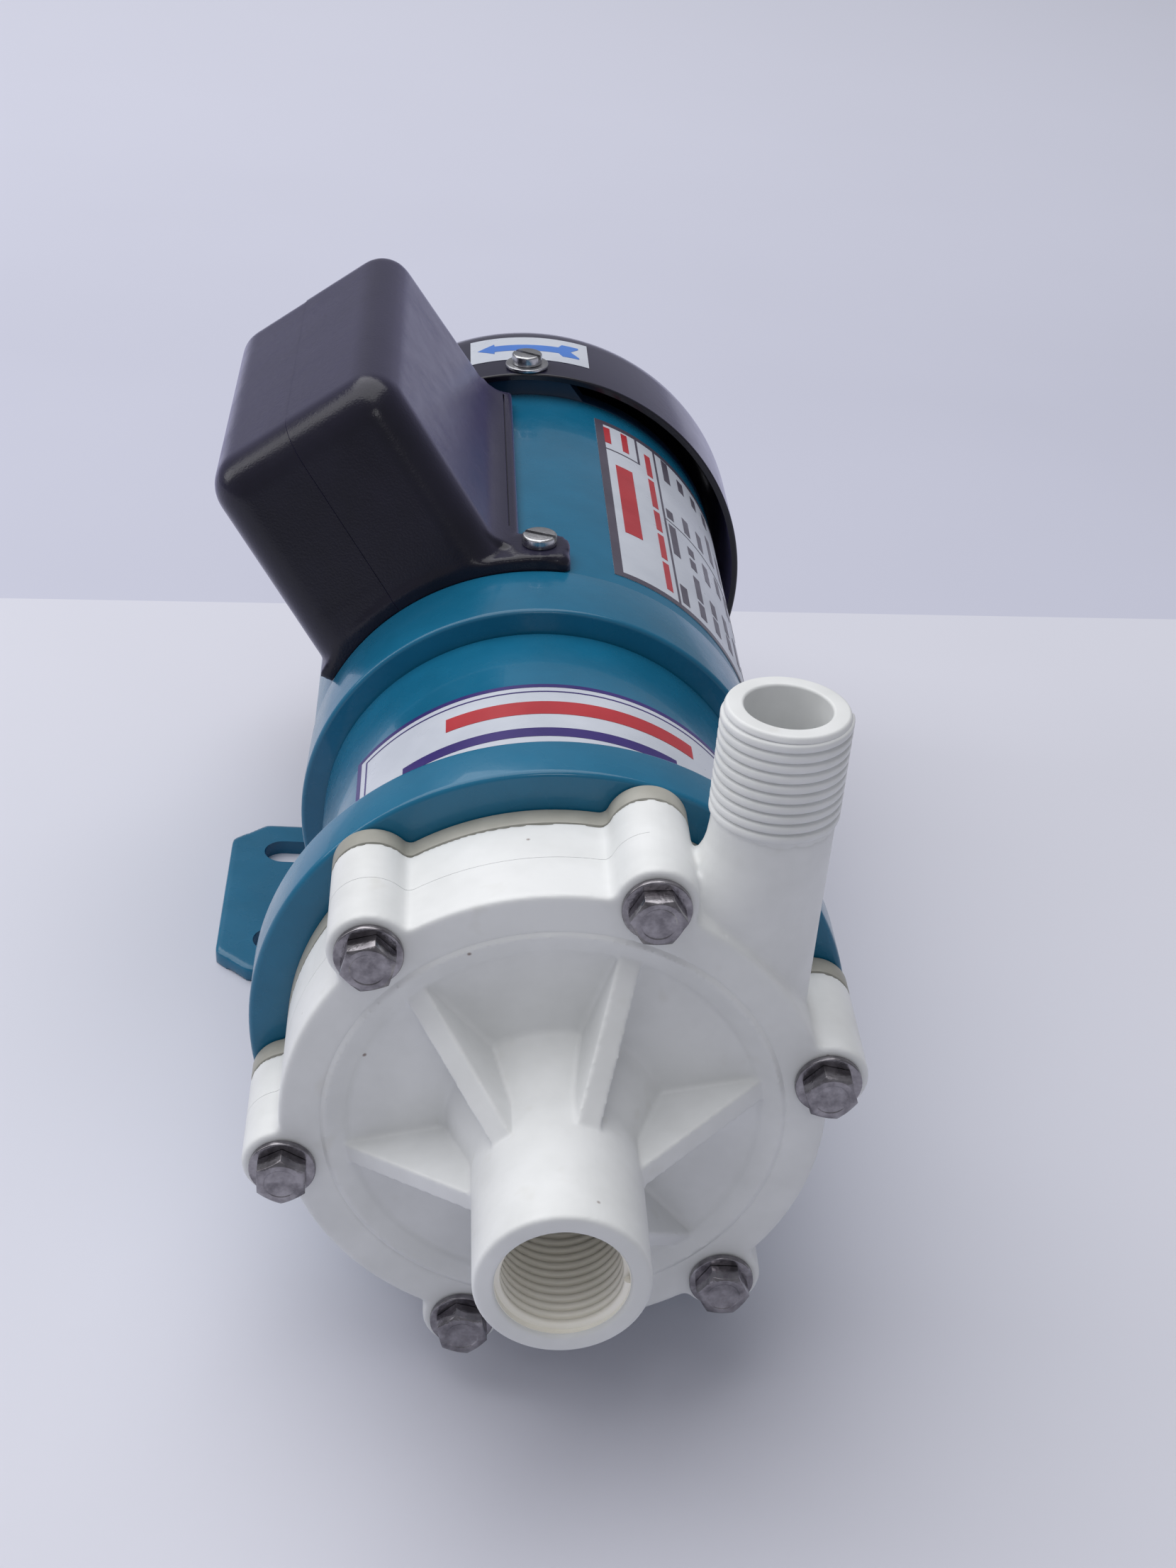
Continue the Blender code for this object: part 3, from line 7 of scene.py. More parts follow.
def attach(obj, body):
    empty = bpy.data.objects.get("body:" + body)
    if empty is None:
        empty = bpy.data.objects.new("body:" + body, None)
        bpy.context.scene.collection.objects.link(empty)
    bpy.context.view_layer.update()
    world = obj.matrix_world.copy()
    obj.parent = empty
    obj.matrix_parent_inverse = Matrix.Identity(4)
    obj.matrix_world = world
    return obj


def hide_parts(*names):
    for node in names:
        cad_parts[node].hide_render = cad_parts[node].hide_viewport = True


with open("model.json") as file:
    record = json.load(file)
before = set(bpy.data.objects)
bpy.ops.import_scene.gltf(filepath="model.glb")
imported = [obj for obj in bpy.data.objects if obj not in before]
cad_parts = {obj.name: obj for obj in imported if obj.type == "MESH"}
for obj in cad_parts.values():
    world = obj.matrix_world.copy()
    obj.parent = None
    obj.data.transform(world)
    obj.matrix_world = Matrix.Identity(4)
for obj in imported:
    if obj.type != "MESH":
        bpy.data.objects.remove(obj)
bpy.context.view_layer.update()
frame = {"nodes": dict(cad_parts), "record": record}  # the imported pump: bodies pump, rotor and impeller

mm = 0.001
shaftZ = 60  # the shaft's centre above the foot's underside, in millimetres
axisPoint = Vector((0.0, 0.0, shaftZ * mm))


# picking, applying and naming, as by hand

def letGo():
    bpy.ops.object.select_all(action='DESELECT')


def pickOnly(piece):
    letGo()
    piece.select_set(True)
    bpy.context.view_layer.objects.active = piece


def applyModifier(piece, kind, **settings):
    modifier = piece.modifiers.new(kind, kind)
    for setting, value in settings.items():
        setattr(modifier, setting, value)
    pickOnly(piece)
    bpy.ops.object.modifier_apply(modifier=modifier.name)


def applyPlace(piece):
    pickOnly(piece)
    bpy.ops.object.transform_apply(location=True, rotation=True, scale=True)


def editMesh(piece, select='SELECT'):
    pickOnly(piece)
    bpy.ops.object.mode_set(mode='EDIT')
    bpy.ops.mesh.select_all(action=select)


def leaveEdit():
    bpy.ops.object.mode_set(mode='OBJECT')


def tidyMesh(piece, distance=0.000002):
    editMesh(piece)
    bpy.ops.mesh.remove_doubles(threshold=distance)
    bpy.ops.mesh.normals_make_consistent(inside=False)
    leaveEdit()


def pushOut(piece, offset):  # closes a loop and pushes it out into a solid
    editMesh(piece)
    bpy.ops.mesh.edge_face_add()
    bpy.ops.mesh.extrude_region_move(TRANSFORM_OT_translate={"value": offset})
    leaveEdit()
    tidyMesh(piece)
    return piece


def joinPieces(pieces):
    letGo()
    for piece in pieces:
        piece.select_set(True)
    bpy.context.view_layer.objects.active = pieces[0]
    bpy.ops.object.join()
    return pieces[0]


def cutWith(piece, tool, operation='DIFFERENCE'):
    applyModifier(piece, 'BOOLEAN', operation=operation, solver='EXACT', object=tool)
    bpy.data.objects.remove(tool, do_unlink=True)


def copyPiece(piece, name):
    twin = piece.copy()
    twin.data = piece.data.copy()
    twin.name = name
    bpy.context.collection.objects.link(twin)
    return twin


def bevelCorners(piece, width, segments, angle):
    applyModifier(piece, 'BEVEL', width=width * mm, segments=segments, limit_method='ANGLE',
        angle_limit=radians(angle))


def bevelEdges(piece, width, segments, wanted):  # rounds the edges whose two ends pass a test
    editMesh(piece, 'DESELECT')
    bpy.ops.mesh.select_mode(type='EDGE')
    leaveEdit()
    for edge in piece.data.edges:
        edge.select = wanted(*(piece.data.vertices[v].co / mm for v in edge.vertices))
    bpy.ops.object.mode_set(mode='EDIT')
    bpy.ops.mesh.bevel(offset=width * mm, segments=segments, affect='EDGES')
    leaveEdit()


def finishPiece(piece, name, finish, *nodes, body="pump", angle=32):
    pickOnly(piece)
    bpy.ops.object.shade_smooth_by_angle(angle=radians(angle))
    piece.name = name
    piece.data.name = name
    piece.data.materials.clear()
    piece.data.materials.append(finishes[finish])
    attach(piece, body)
    if nodes:
        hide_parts(*nodes)


# outlines: points are (x, y) or (y, radius) in millimetres, with a corner radius where there is one

def roundCorners(points, steps=5):
    rounded = []
    count = len(points)
    for i, point in enumerate(points):
        here = Vector(point[:2])
        radius = point[2] if len(point) > 2 else 0.0
        if radius <= 0:
            rounded.append(here)
            continue
        before = (Vector(points[i - 1][:2]) - here).normalized()
        after = (Vector(points[(i + 1) % count][:2]) - here).normalized()
        half = acos(max(-1.0, min(1.0, before.dot(after)))) / 2
        reach = radius / tan(half)
        centre = here + (before + after).normalized() * (radius / sin(half))
        start = here + before * reach - centre
        end = here + after * reach - centre
        turn = atan2(start.x * end.y - start.y * end.x, start.dot(end))
        for k in range(steps + 1):
            angle = turn * k / steps
            rounded.append(centre + Vector((start.x * cos(angle) - start.y * sin(angle),
                start.x * sin(angle) + start.y * cos(angle))))
    return rounded


def drawLoop(name, points):
    letGo()
    bpy.ops.mesh.primitive_circle_add(vertices=len(points), radius=mm, location=(0, 0, 0))
    loop = bpy.context.object
    loop.name = name
    for vert, point in zip(loop.data.vertices, points):
        vert.co = point
    return loop


def spun(name, outline, steps=144, corner=5):  # a closed outline turned about the shaft
    points = [Vector((r, y, 0)) * mm + axisPoint for y, r in roundCorners(outline, corner)]
    piece = drawLoop(name, points)
    editMesh(piece)
    bpy.ops.mesh.spin(steps=steps, angle=2 * pi, center=axisPoint, axis=(0, 1, 0))
    leaveEdit()
    tidyMesh(piece)
    return piece


def extruded(name, outline, front, rear):  # an (x, z) outline about the shaft, pushed along y
    points = [Vector((x, front, z)) * mm + axisPoint for x, z in roundCorners(outline)]
    return pushOut(drawLoop(name, points), (0, (rear - front) * mm, 0))


def rod(name, low, high, radius, sides=48):  # a plain bar between two points, for cutting and joining
    low, high = Vector(low) * mm, Vector(high) * mm
    letGo()
    bpy.ops.mesh.primitive_cylinder_add(vertices=sides, radius=radius * mm, depth=(high - low).length,
        location=(low + high) / 2)
    piece = bpy.context.object
    piece.name = name
    piece.rotation_mode = 'QUATERNION'
    piece.rotation_quaternion = Vector((0, 0, 1)).rotation_difference(high - low)
    applyPlace(piece)
    return piece


def slab(name, low, high):
    low, high = Vector(low) * mm, Vector(high) * mm
    letGo()
    bpy.ops.mesh.primitive_cube_add(size=1, location=(low + high) / 2)
    piece = bpy.context.object
    piece.name = name
    piece.scale = high - low
    applyPlace(piece)
    return piece


def moulded(pieces, voxel, rounds, keep):  # runs overlapping forms together with small fillets
    piece = joinPieces(pieces)
    size = voxel * mm * 1.0
    applyModifier(piece, 'REMESH', mode='VOXEL', voxel_size=size, adaptivity=0.0)
    applyModifier(piece, 'SMOOTH', factor=0.5, iterations=rounds)
    applyModifier(piece, 'DECIMATE', ratio=keep)
    return piece


def turned(piece, angle):  # turns a piece round the shaft, anticlockwise from the front
    piece.data.transform(Matrix.Translation(axisPoint) @ Matrix.Rotation(-radians(angle), 4, 'Y')
        @ Matrix.Translation(-axisPoint))
    return piece


def moved(piece, x, y, z):
    piece.data.transform(Matrix.Translation(Vector((x, y, z)) * mm))
    return piece


def stoodUp(piece):  # from along the shaft to along z, on the origin
    piece.data.transform(Matrix.Translation(-axisPoint))
    piece.data.transform(Matrix.Rotation(pi / 2, 4, 'X'))
    return piece


def onShaft(radius, angle, y):
    return Vector((radius * cos(radians(angle)), y, radius * sin(radians(angle)))) + axisPoint / mm


def arcPoints(radius, start, turn, steps, centre=(0, 0)):
    return [(centre[0] + radius * cos(radians(start + turn * k / steps)),
        centre[1] + radius * sin(radians(start + turn * k / steps))) for k in range(steps + 1)]


# finishes

def startMaterial(name):
    made = bpy.data.materials.new(name)
    made.use_nodes = True
    tree = made.node_tree
    shader = tree.nodes["Principled BSDF"]
    where = tree.nodes.new("ShaderNodeTexCoord")
    return made, tree, shader, where.outputs["Object"]


def noise(tree, where, scale, detail=3.0, rough=0.55, stretch=(1, 1, 1)):
    mapping = tree.nodes.new("ShaderNodeMapping")
    mapping.inputs["Scale"].default_value = stretch
    tree.links.new(where, mapping.inputs["Vector"])
    made = tree.nodes.new("ShaderNodeTexNoise")
    made.inputs["Scale"].default_value = scale
    made.inputs["Detail"].default_value = detail
    made.inputs["Roughness"].default_value = rough
    tree.links.new(mapping.outputs["Vector"], made.inputs["Vector"])
    return made.outputs["Fac"]


def spread(tree, source, low, high, fromLow=0.3, fromHigh=0.7):
    made = tree.nodes.new("ShaderNodeMapRange")
    made.inputs["From Min"].default_value = fromLow
    made.inputs["From Max"].default_value = fromHigh
    made.inputs["To Min"].default_value = low
    made.inputs["To Max"].default_value = high
    tree.links.new(source, made.inputs["Value"])
    return made.outputs["Result"]


def blendColours(tree, share, first, second):
    made = tree.nodes.new("ShaderNodeMix")
    made.data_type = 'RGBA'
    tree.links.new(share, made.inputs["Factor"])
    for socket, colour in ((made.inputs["A"], first), (made.inputs["B"], second)):
        if isinstance(colour, tuple):
            socket.default_value = (*colour, 1.0)
        else:
            tree.links.new(colour, socket)
    return made.outputs["Result"]


def bump(tree, shader, height, strength, distance):
    made = tree.nodes.new("ShaderNodeBump")
    made.inputs["Strength"].default_value = strength
    made.inputs["Distance"].default_value = distance
    tree.links.new(height, made.inputs["Height"])
    tree.links.new(made.outputs["Normal"], shader.inputs["Normal"])


usualLook = {"cloudScale": 60, "spotScale": 170, "glossScale": 130, "metal": 0.0, "coat": 0.0, "coatRough": 0.1,
    "specular": 0.5, "sheen": 0.0, "sheenTint": (0.52, 0.48, 1.0, 1.0), "rough": (0.3, 0.4), "grain": 0.05,
    "grainScale": 1400, "grainStretch": (1, 1, 1), "grainDepth": 0.0002}
lookSockets = {"Metallic": "metal", "Coat Weight": "coat", "Coat Roughness": "coatRough",
    "Specular IOR Level": "specular", "Sheen Weight": "sheen", "Sheen Tint": "sheenTint"}


def grainFinish(name, ownLook):  # two shades, spots, a changing gloss and a fine grain
    look = usualLook | ownLook
    made, tree, shader, where = startMaterial(name)
    cloud = noise(tree, where, look["cloudScale"], 4.0, 0.6)
    colour = blendColours(tree, spread(tree, cloud, 0.0, 1.0, 0.35, 0.65), look["dark"], look["light"])
    if "spot" in look:
        spots = noise(tree, where, look["spotScale"], 2.0, 0.5)
        share = spread(tree, spots, 0.0, look["spotShare"], 0.66, 0.8)
        colour = blendColours(tree, share, colour, look["spot"])
    if "speck" in look:
        cells = tree.nodes.new("ShaderNodeTexVoronoi")
        cells.inputs["Scale"].default_value = look["speckScale"]
        tree.links.new(where, cells.inputs["Vector"])
        share = spread(tree, cells.outputs["Distance"], 0.75, 0.0, 0.015, 0.035)
        colour = blendColours(tree, share, colour, look["speck"])
    tree.links.new(colour, shader.inputs["Base Color"])
    gloss = noise(tree, where, look["glossScale"], 3.0)
    tree.links.new(spread(tree, gloss, *look["rough"]), shader.inputs["Roughness"])
    for socket, setting in lookSockets.items():
        shader.inputs[socket].default_value = look[setting]
    grain = noise(tree, where, look["grainScale"], 2.0, 0.5, look["grainStretch"])
    bump(tree, shader, grain, look["grain"], look["grainDepth"])
    return made


def bandFinish(name, dark, light, scale, wander, rough):  # stripes across the shaft, as in stacked sheets
    made, tree, shader, where = startMaterial(name)
    wave = tree.nodes.new("ShaderNodeTexWave")
    wave.wave_type = 'BANDS'
    wave.bands_direction = 'Y'
    wave.inputs["Scale"].default_value = scale
    wave.inputs["Distortion"].default_value = wander
    tree.links.new(where, wave.inputs["Vector"])
    colour = blendColours(tree, wave.outputs["Fac"], dark, light)
    tree.links.new(colour, shader.inputs["Base Color"])
    shader.inputs["Metallic"].default_value = 0.8
    shader.inputs["Roughness"].default_value = rough
    bump(tree, shader, wave.outputs["Fac"], 0.5, usualLook["grainDepth"])
    return made


finishLooks = {
    "whitePlastic": {"dark": (0.68, 0.69, 0.69), "light": (0.775, 0.785, 0.79), "spot": (0.55, 0.53, 0.46),
        "spotShare": 0.22, "cloudScale": 45, "rough": (0.34, 0.5), "grain": 0.1, "grainScale": 900,
        "speck": (0.12, 0.05, 0.025), "speckScale": 75},
    # painted shade: the teal enamel painted dark navy, for the rear end shield in the shadow under the fan
    # cover's edge
    "tealPaintedShade": {"dark": (0.003, 0.028, 0.07), "light": (0.005, 0.036, 0.09), "grain": 0.1,
        "grainScale": 420},
    # painted light: a lighter, creamier copy of the white casing plastic for the thread inside the suction bore,
    # standing in for the light that comes through the thin walls
    "borePaintedLight": {"dark": (0.9, 0.87, 0.78), "light": (0.95, 0.925, 0.85), "rough": (0.3, 0.42), "grain": 0.08,
        "grainScale": 900},
    "creamPlastic": {"dark": (0.3, 0.295, 0.26), "light": (0.4, 0.39, 0.35), "rough": (0.4, 0.55),
        "grain": 0.2, "grainScale": 700},
    "tealEnamel": {"dark": (0.006, 0.114, 0.212), "light": (0.009, 0.142, 0.262), "cloudScale": 35,
        "rough": (0.22, 0.32), "specular": 0.3, "coat": 0.3, "coatRough": 0.05, "grain": 0.09,
        "grainScale": 420, "grainDepth": 0.0005},
    "boxBlack": {"dark": (0.005, 0.0045, 0.009), "light": (0.009, 0.008, 0.016), "rough": (0.17, 0.27),
        "grain": 0.2, "grainScale": 2200, "specular": 0.35, "sheen": 0.25},
    "coverBlack": {"dark": (0.003, 0.003, 0.006), "light": (0.005, 0.005, 0.01), "rough": (0.14, 0.22),
        "specular": 0.35, "sheen": 0.2, "coat": 0.2, "grain": 0.06, "grainScale": 300, "grainDepth": 0.0005},
    "boltSteel": {"dark": (0.17, 0.16, 0.175), "light": (0.33, 0.315, 0.335), "metal": 1.0, "rough": (0.16, 0.3),
        "grain": 0.3, "grainScale": 1100, "cloudScale": 420},
    "groundSteel": {"dark": (0.42, 0.42, 0.44), "light": (0.56, 0.56, 0.58), "metal": 1.0, "rough": (0.16, 0.3),
        "grain": 0.2, "grainScale": 900, "grainStretch": (1, 12, 1)},
    "yokeSteel": {"dark": (0.2, 0.2, 0.21), "light": (0.3, 0.3, 0.31), "metal": 0.9, "rough": (0.35, 0.5),
        "grain": 0.3, "grainScale": 600},
    "magnetDark": {"dark": (0.05, 0.05, 0.055), "light": (0.08, 0.08, 0.085), "metal": 0.5, "rough": (0.4, 0.6),
        "grain": 0.3, "grainScale": 1200},
    "ceramicCream": {"dark": (0.66, 0.62, 0.52), "light": (0.74, 0.7, 0.6), "rough": (0.15, 0.25)},
    "carbonGrey": {"dark": (0.02, 0.02, 0.022), "light": (0.04, 0.04, 0.043), "rough": (0.4, 0.6), "grain": 0.2},
    "sealRubber": {"dark": (0.012, 0.012, 0.012), "light": (0.02, 0.02, 0.02), "rough": (0.6, 0.8), "grain": 0.3},
    "impellerPlastic": {"dark": (0.46, 0.47, 0.45), "light": (0.56, 0.57, 0.55), "rough": (0.35, 0.5),
        "grain": 0.15},
    "fanPlastic": {"dark": (0.03, 0.034, 0.038), "light": (0.05, 0.055, 0.06), "rough": (0.4, 0.55),
        "grain": 0.25},
    "capacitorWhite": {"dark": (0.5, 0.5, 0.48), "light": (0.6, 0.6, 0.58), "grain": 0.1},
    "stickerWhite": {"dark": (0.5, 0.53, 0.6), "light": (0.57, 0.6, 0.67), "rough": (0.25, 0.4), "grain": 0.06},
    "printPurple": {"dark": (0.025, 0.012, 0.13), "light": (0.04, 0.02, 0.17)},
    "printGrey": {"dark": (0.06, 0.05, 0.075), "light": (0.08, 0.07, 0.1)},
    "printBlue": {"dark": (0.05, 0.16, 0.52), "light": (0.07, 0.2, 0.6)},
    "printRed": {"dark": (0.38, 0.02, 0.03), "light": (0.45, 0.03, 0.04)},
}
finishes = {name: grainFinish(name, look) for name, look in finishLooks.items()}
finishes["stackedSheets"] = bandFinish("stackedSheets", (0.1, 0.1, 0.1), (0.3, 0.3, 0.31), 320, 0.6, 0.45)
finishes["woundCopper"] = bandFinish("woundCopper", (0.25, 0.08, 0.03), (0.6, 0.26, 0.12), 180, 4.0, 0.3)
print("finishes made:", len(finishes))

nodeFinishes = {
    "stainless": "boltSteel", "bearing_steel": "groundSteel", "shaft_steel": "groundSteel",
    "core_steel": "yokeSteel", "copper": "woundCopper", "magnet": "magnetDark", "ceramic": "ceramicCream",
    "carbon": "carbonGrey", "rubber": "sealRubber", "impeller_plastic": "impellerPlastic",
    "fan_plastic": "fanPlastic", "capacitor_white": "capacitorWhite", "box_black": "boxBlack",
    "cover_black": "coverBlack", "teal_enamel": "tealEnamel", "casing_white": "whitePlastic",
    "casing_cream": "creamPlastic",
}


def dressNodes():  # every CAD node gets its finish, also those that a piece replaces
    slots = {part["node"]: part["material_slot"] for part in frame["record"]["subparts"]}
    for node, piece in frame["nodes"].items():
        finish = finishes[nodeFinishes[slots[node]]]
        if node in ("stator_core", "rotor_core"):
            finish = finishes["stackedSheets"]
        piece.data.materials.clear()
        piece.data.materials.append(finish)


dressNodes()
print("nodes dressed:", len(frame["nodes"]))


# the casing bolts' places are shared by both casings and the bracket

bolts = {"count": 6, "circle": 46.0, "start": 13.6, "lobe": 6.9, "hole": 3.3}
boltStep = 360.0 / bolts["count"]
boltAngles = [bolts["start"] + i * 360.0 / bolts["count"] for i in range(bolts["count"])]
casing = {
    "front": -148.2, "rear": -126.9, "rim": 45.6, "ringOuter": 38.4, "ringInner": 34.4, "recess": 1.2,
    "chamberFront": -141.4, "chamber": 37.5, "tubeFront": -186.59, "tube": 13.85, "hub": 18.3, "hubLength": 11.0,
    "throat": 8.5, "threadLength": 24.0, "threadRoot": 10.45, "ribWidth": 4.0, "ribReach": 16.7,
    "pipeX": 31.4, "pipeY": -136.9, "pipeTop": 75.0, "pipe": 9.95, "bore": 7.0, "threadFrom": 54.5,
    "lobeBlend": 1.5, "edge": 0.8, "pipeBottom": 11.0, "bead": 0.5, "parting": -137.1, "lineWidth": 0.12,
    "lineDepth": 0.08,
    "pipeFlare": [(53.0, 0.0), (50.0, 0.3), (48.0, 0.8), (46.0, 1.8), (44.0, 3.2), (42.0, 5.0), (40.0, 7.0),
        (12.0, 7.0)],
    "voxel": 0.5, "keep": 0.44, "faceVoxel": 0.42, "faceKeep": 0.4,
}


def makeRib(angle):
    c = casing
    slope = c["ribReach"] / (c["ringInner"] - c["tube"])
    inner = c["tube"] - 2.5
    outline = [(inner, c["front"] - c["ribReach"] - 2.5 * slope), (c["ringInner"] + 0.4, c["front"] + 0.2),
        (c["ringInner"] + 0.4, c["front"] + 4.0), (inner, c["front"] + 4.0)]
    points = [Vector((x, y, -c["ribWidth"] / 2)) * mm + axisPoint for x, y in outline]
    return turned(pushOut(drawLoop("rib", points), (0, 0, c["ribWidth"] * mm)), angle)


def heading(low, high):
    return degrees(atan2(high.y - low.y, high.x - low.x))


def lobedOutline(rim, lobe, blend):  # a round rim with a lobe at each bolt, run together by hollow curves
    circle, reach, side = bolts["circle"], rim + blend, lobe + blend
    half = degrees(acos((reach ** 2 + circle ** 2 - side ** 2) / (2 * reach * circle)))
    shaft = Vector((0, 0))
    outline = []
    for angle in boltAngles:
        middle = circle * Vector((cos(radians(angle)), sin(radians(angle))))
        before, after = (reach * Vector((cos(radians(angle + way * half)), sin(radians(angle + way * half))))
            for way in (-1, 1))
        hollow = (heading(before, shaft) - heading(before, middle)) % 360
        crown = (heading(middle, after) - heading(middle, before)) % 360
        outline += arcPoints(blend, heading(before, shaft), -hollow, 6, before)
        outline += arcPoints(lobe, heading(middle, before), crown, 28, middle)[1:]
        outline += arcPoints(blend, heading(after, middle), -hollow, 6, after)[1:]
        outline += arcPoints(rim, angle + half, boltStep - 2 * half, 18)[1:-1]
    return outline


def boltHoles(front, rear, radius):
    circle = bolts["circle"]
    return [rod("hole", onShaft(circle, angle, front), onShaft(circle, angle, rear), radius, 24)
        for angle in boltAngles]


def makePipeFoot():  # the discharge pipe, widening on its left towards the lobe
    c = casing
    pipe = drawLoop("pipe", [Vector((c["pipe"] * cos(2 * pi * k / 72), c["pipe"] * sin(2 * pi * k / 72), 0)) * mm
        for k in range(72)])
    moved(pipe, c["pipeX"], c["pipeY"], shaftZ + c["threadFrom"] + 1)
    editMesh(pipe)
    bpy.ops.mesh.edge_face_add()
    last, grown = c["threadFrom"] + 1, 0.0
    for height, wider in c["pipeFlare"]:
        bpy.ops.mesh.extrude_region_move(TRANSFORM_OT_translate={"value": (0, 0, (height - last) * mm)})
        scale = (c["pipe"] + wider / 2) / (c["pipe"] + grown / 2)
        bpy.ops.transform.resize(value=(scale, 1, 1), center_override=(c["pipeX"] * mm, c["pipeY"] * mm, 0))
        last, grown = height, wider
    leaveEdit()
    right = (c["pipeX"] + c["pipe"]) * mm
    for vert in pipe.data.vertices:
        height = vert.co.z / mm - shaftZ
        wider = next((w for h, w in c["pipeFlare"] if abs(h - height) < 0.01), 0.0)
        vert.co.x -= wider / 2 * mm
        vert.co.x = min(vert.co.x, right)
    tidyMesh(pipe)
    return pipe


def makeFrontCasing():
    c = casing
    front, rear, ring, ringInner = c["front"], c["rear"], c["ringOuter"], c["ringInner"]
    tubeFront, root, parting = c["tubeFront"], c["threadRoot"], c["parting"]
    floor, threadEnd = front + c["recess"], tubeFront + c["threadLength"]
    rimFront = extruded("rim", lobedOutline(c["rim"], bolts["lobe"], c["lobeBlend"]), front, rear)
    bevelEdges(rimFront, c["edge"], 4, lambda *ends: max(abs(end.y - front) for end in ends) < 0.01)
    cutWith(rimFront, spun("inside", [(front - 2, 0.0), (front - 2, ring), (front + 4, ring),
        (front + 4, c["chamber"]), (rear + 2, c["chamber"]), (rear + 2, 0.0)], 180))
    pipe = makePipeFoot()
    cutWith(pipe, rod("gap", (0, c["chamberFront"], shaftZ), (0, rear + 1, shaftZ), c["chamber"], 96))
    outer = moulded([rimFront, pipe], c["voxel"], 3, c["keep"])
    holes = boltHoles(front - 2, rear + 2, bolts["hole"])
    bore = rod("bore", (c["pipeX"], c["pipeY"], shaftZ + c["pipeBottom"]),
        (c["pipeX"], c["pipeY"], shaftZ + c["pipeTop"] + 5), c["bore"], 48)
    cutWith(outer, joinPieces(holes + [bore]))
    line = extruded("line", lobedOutline(c["rim"] + 5, bolts["lobe"], c["lobeBlend"]), parting,
        parting + c["lineWidth"])
    core = lobedOutline(c["rim"] - c["lineDepth"], bolts["lobe"] - c["lineDepth"], c["lobeBlend"])
    cutWith(line, extruded("core", core, parting - 1, parting + 1))
    cutWith(line, slab("keep", (-80, -160, 20), (12, -100, 120)), 'INTERSECT')
    cutWith(outer, line)
    face = spun("casingFace", [
        (tubeFront, root + 0.35), (tubeFront, c["tube"], 0.8),
        (floor - c["hubLength"], c["tube"], 6.0), (floor, c["hub"], 1.2), (floor, ringInner - 0.1),
        (floor - 0.45, ringInner + 0.2),
        (front - c["bead"], ring - 0.35), (front + 0.1, ring + 0.1), (front + 0.5, ring + 1.8),
        (c["chamberFront"], ring + 1.8), (c["chamberFront"], c["throat"]), (threadEnd, c["throat"]),
        (threadEnd, root), (tubeFront + 0.6, root)])
    ribs = [makeRib(angle) for angle in boltAngles]
    face = moulded([face] + ribs, c["faceVoxel"], 2, c["faceKeep"])
    piece = joinPieces([outer, face])
    print("front casing faces:", len(piece.data.polygons))
    finishPiece(piece, "frontCasing", "whitePlastic", "front_casing", angle=55)


def threadTooth(name, root, crest, pitch, turns, sides=72):  # one tooth wound up along z
    rise = crest - root
    base = root - rise * 0.25
    shape = [(base, -0.49), (root, -0.46), (crest - rise * 0.25, -0.34), (crest, -0.2), (crest, 0.2),
        (crest - rise * 0.25, 0.34), (root, 0.46), (base, 0.49)]
    tooth = drawLoop(name, [Vector((r, 0, z * pitch)) * mm for r, z in shape])
    applyModifier(tooth, 'SCREW', axis='Z', screw_offset=pitch * mm, iterations=turns, steps=sides,
        render_steps=sides, use_merge_vertices=False)
    editMesh(tooth, 'DESELECT')
    bpy.ops.mesh.select_non_manifold()
    bpy.ops.mesh.edge_face_add()
    leaveEdit()
    tidyMesh(tooth)
    return tooth


threads = {"pitch": 1.814, "crest": 10.48, "root": 9.85, "inside": 9.5, "outsideTurns": 10, "outsideStart": 0.9,
    "insideTurns": 12, "insideStart": 1.9}


def makeDischargeThread():
    c, t = casing, threads
    low = c["threadFrom"]
    sleeve = spun("dischargeEnd", [(low, c["bore"]), (low, t["root"]), (c["pipeTop"] - 1.2, t["root"]),
        (c["pipeTop"] - 1.2, t["crest"] - 0.25, 0.3),
        (c["pipeTop"], t["crest"] - 0.7, 0.6), (c["pipeTop"], c["bore"], 0.5)], 96)
    tooth = threadTooth("dischargeTooth", t["root"], t["crest"], t["pitch"], t["outsideTurns"])
    piece = joinPieces([stoodUp(sleeve), moved(tooth, 0, 0, low + t["outsideStart"])])
    moved(piece, c["pipeX"], c["pipeY"], shaftZ)
    finishPiece(piece, "dischargeThread", "whitePlastic", angle=50)


def makeSuctionThread():
    c, t = casing, threads
    tooth = threadTooth("suctionTooth", c["threadRoot"], t["inside"], t["pitch"], t["insideTurns"])
    tooth.data.transform(Matrix.Rotation(-pi / 2, 4, 'X'))
    moved(tooth, 0, c["tubeFront"] + t["insideStart"], shaftZ)
    mouth, end = c["tubeFront"] + 0.7, c["tubeFront"] + c["threadLength"] - 0.1
    liner = spun("liner", [(mouth, c["threadRoot"] - 0.05), (mouth, c["threadRoot"] + 0.5),
        (end, c["threadRoot"] + 0.5), (end, c["threadRoot"] - 0.05)], 96)
    # the bore's thread takes the lighter copy of the white plastic: painted light inside the bore
    finishPiece(joinPieces([tooth, liner]), "suctionThread", "borePaintedLight", angle=50)


rearCasing = {"front": -126.6, "rear": -122.5, "rim": 45.6, "groove": (38.9, 41.9), "grooveFloor": -124.3,
    "can": 29.0, "canWall": 2.0, "canEnd": -85.9, "canFloor": -88.5, "socket": 6.5,
    "socketFront": -94.5, "spindle": 4.1}


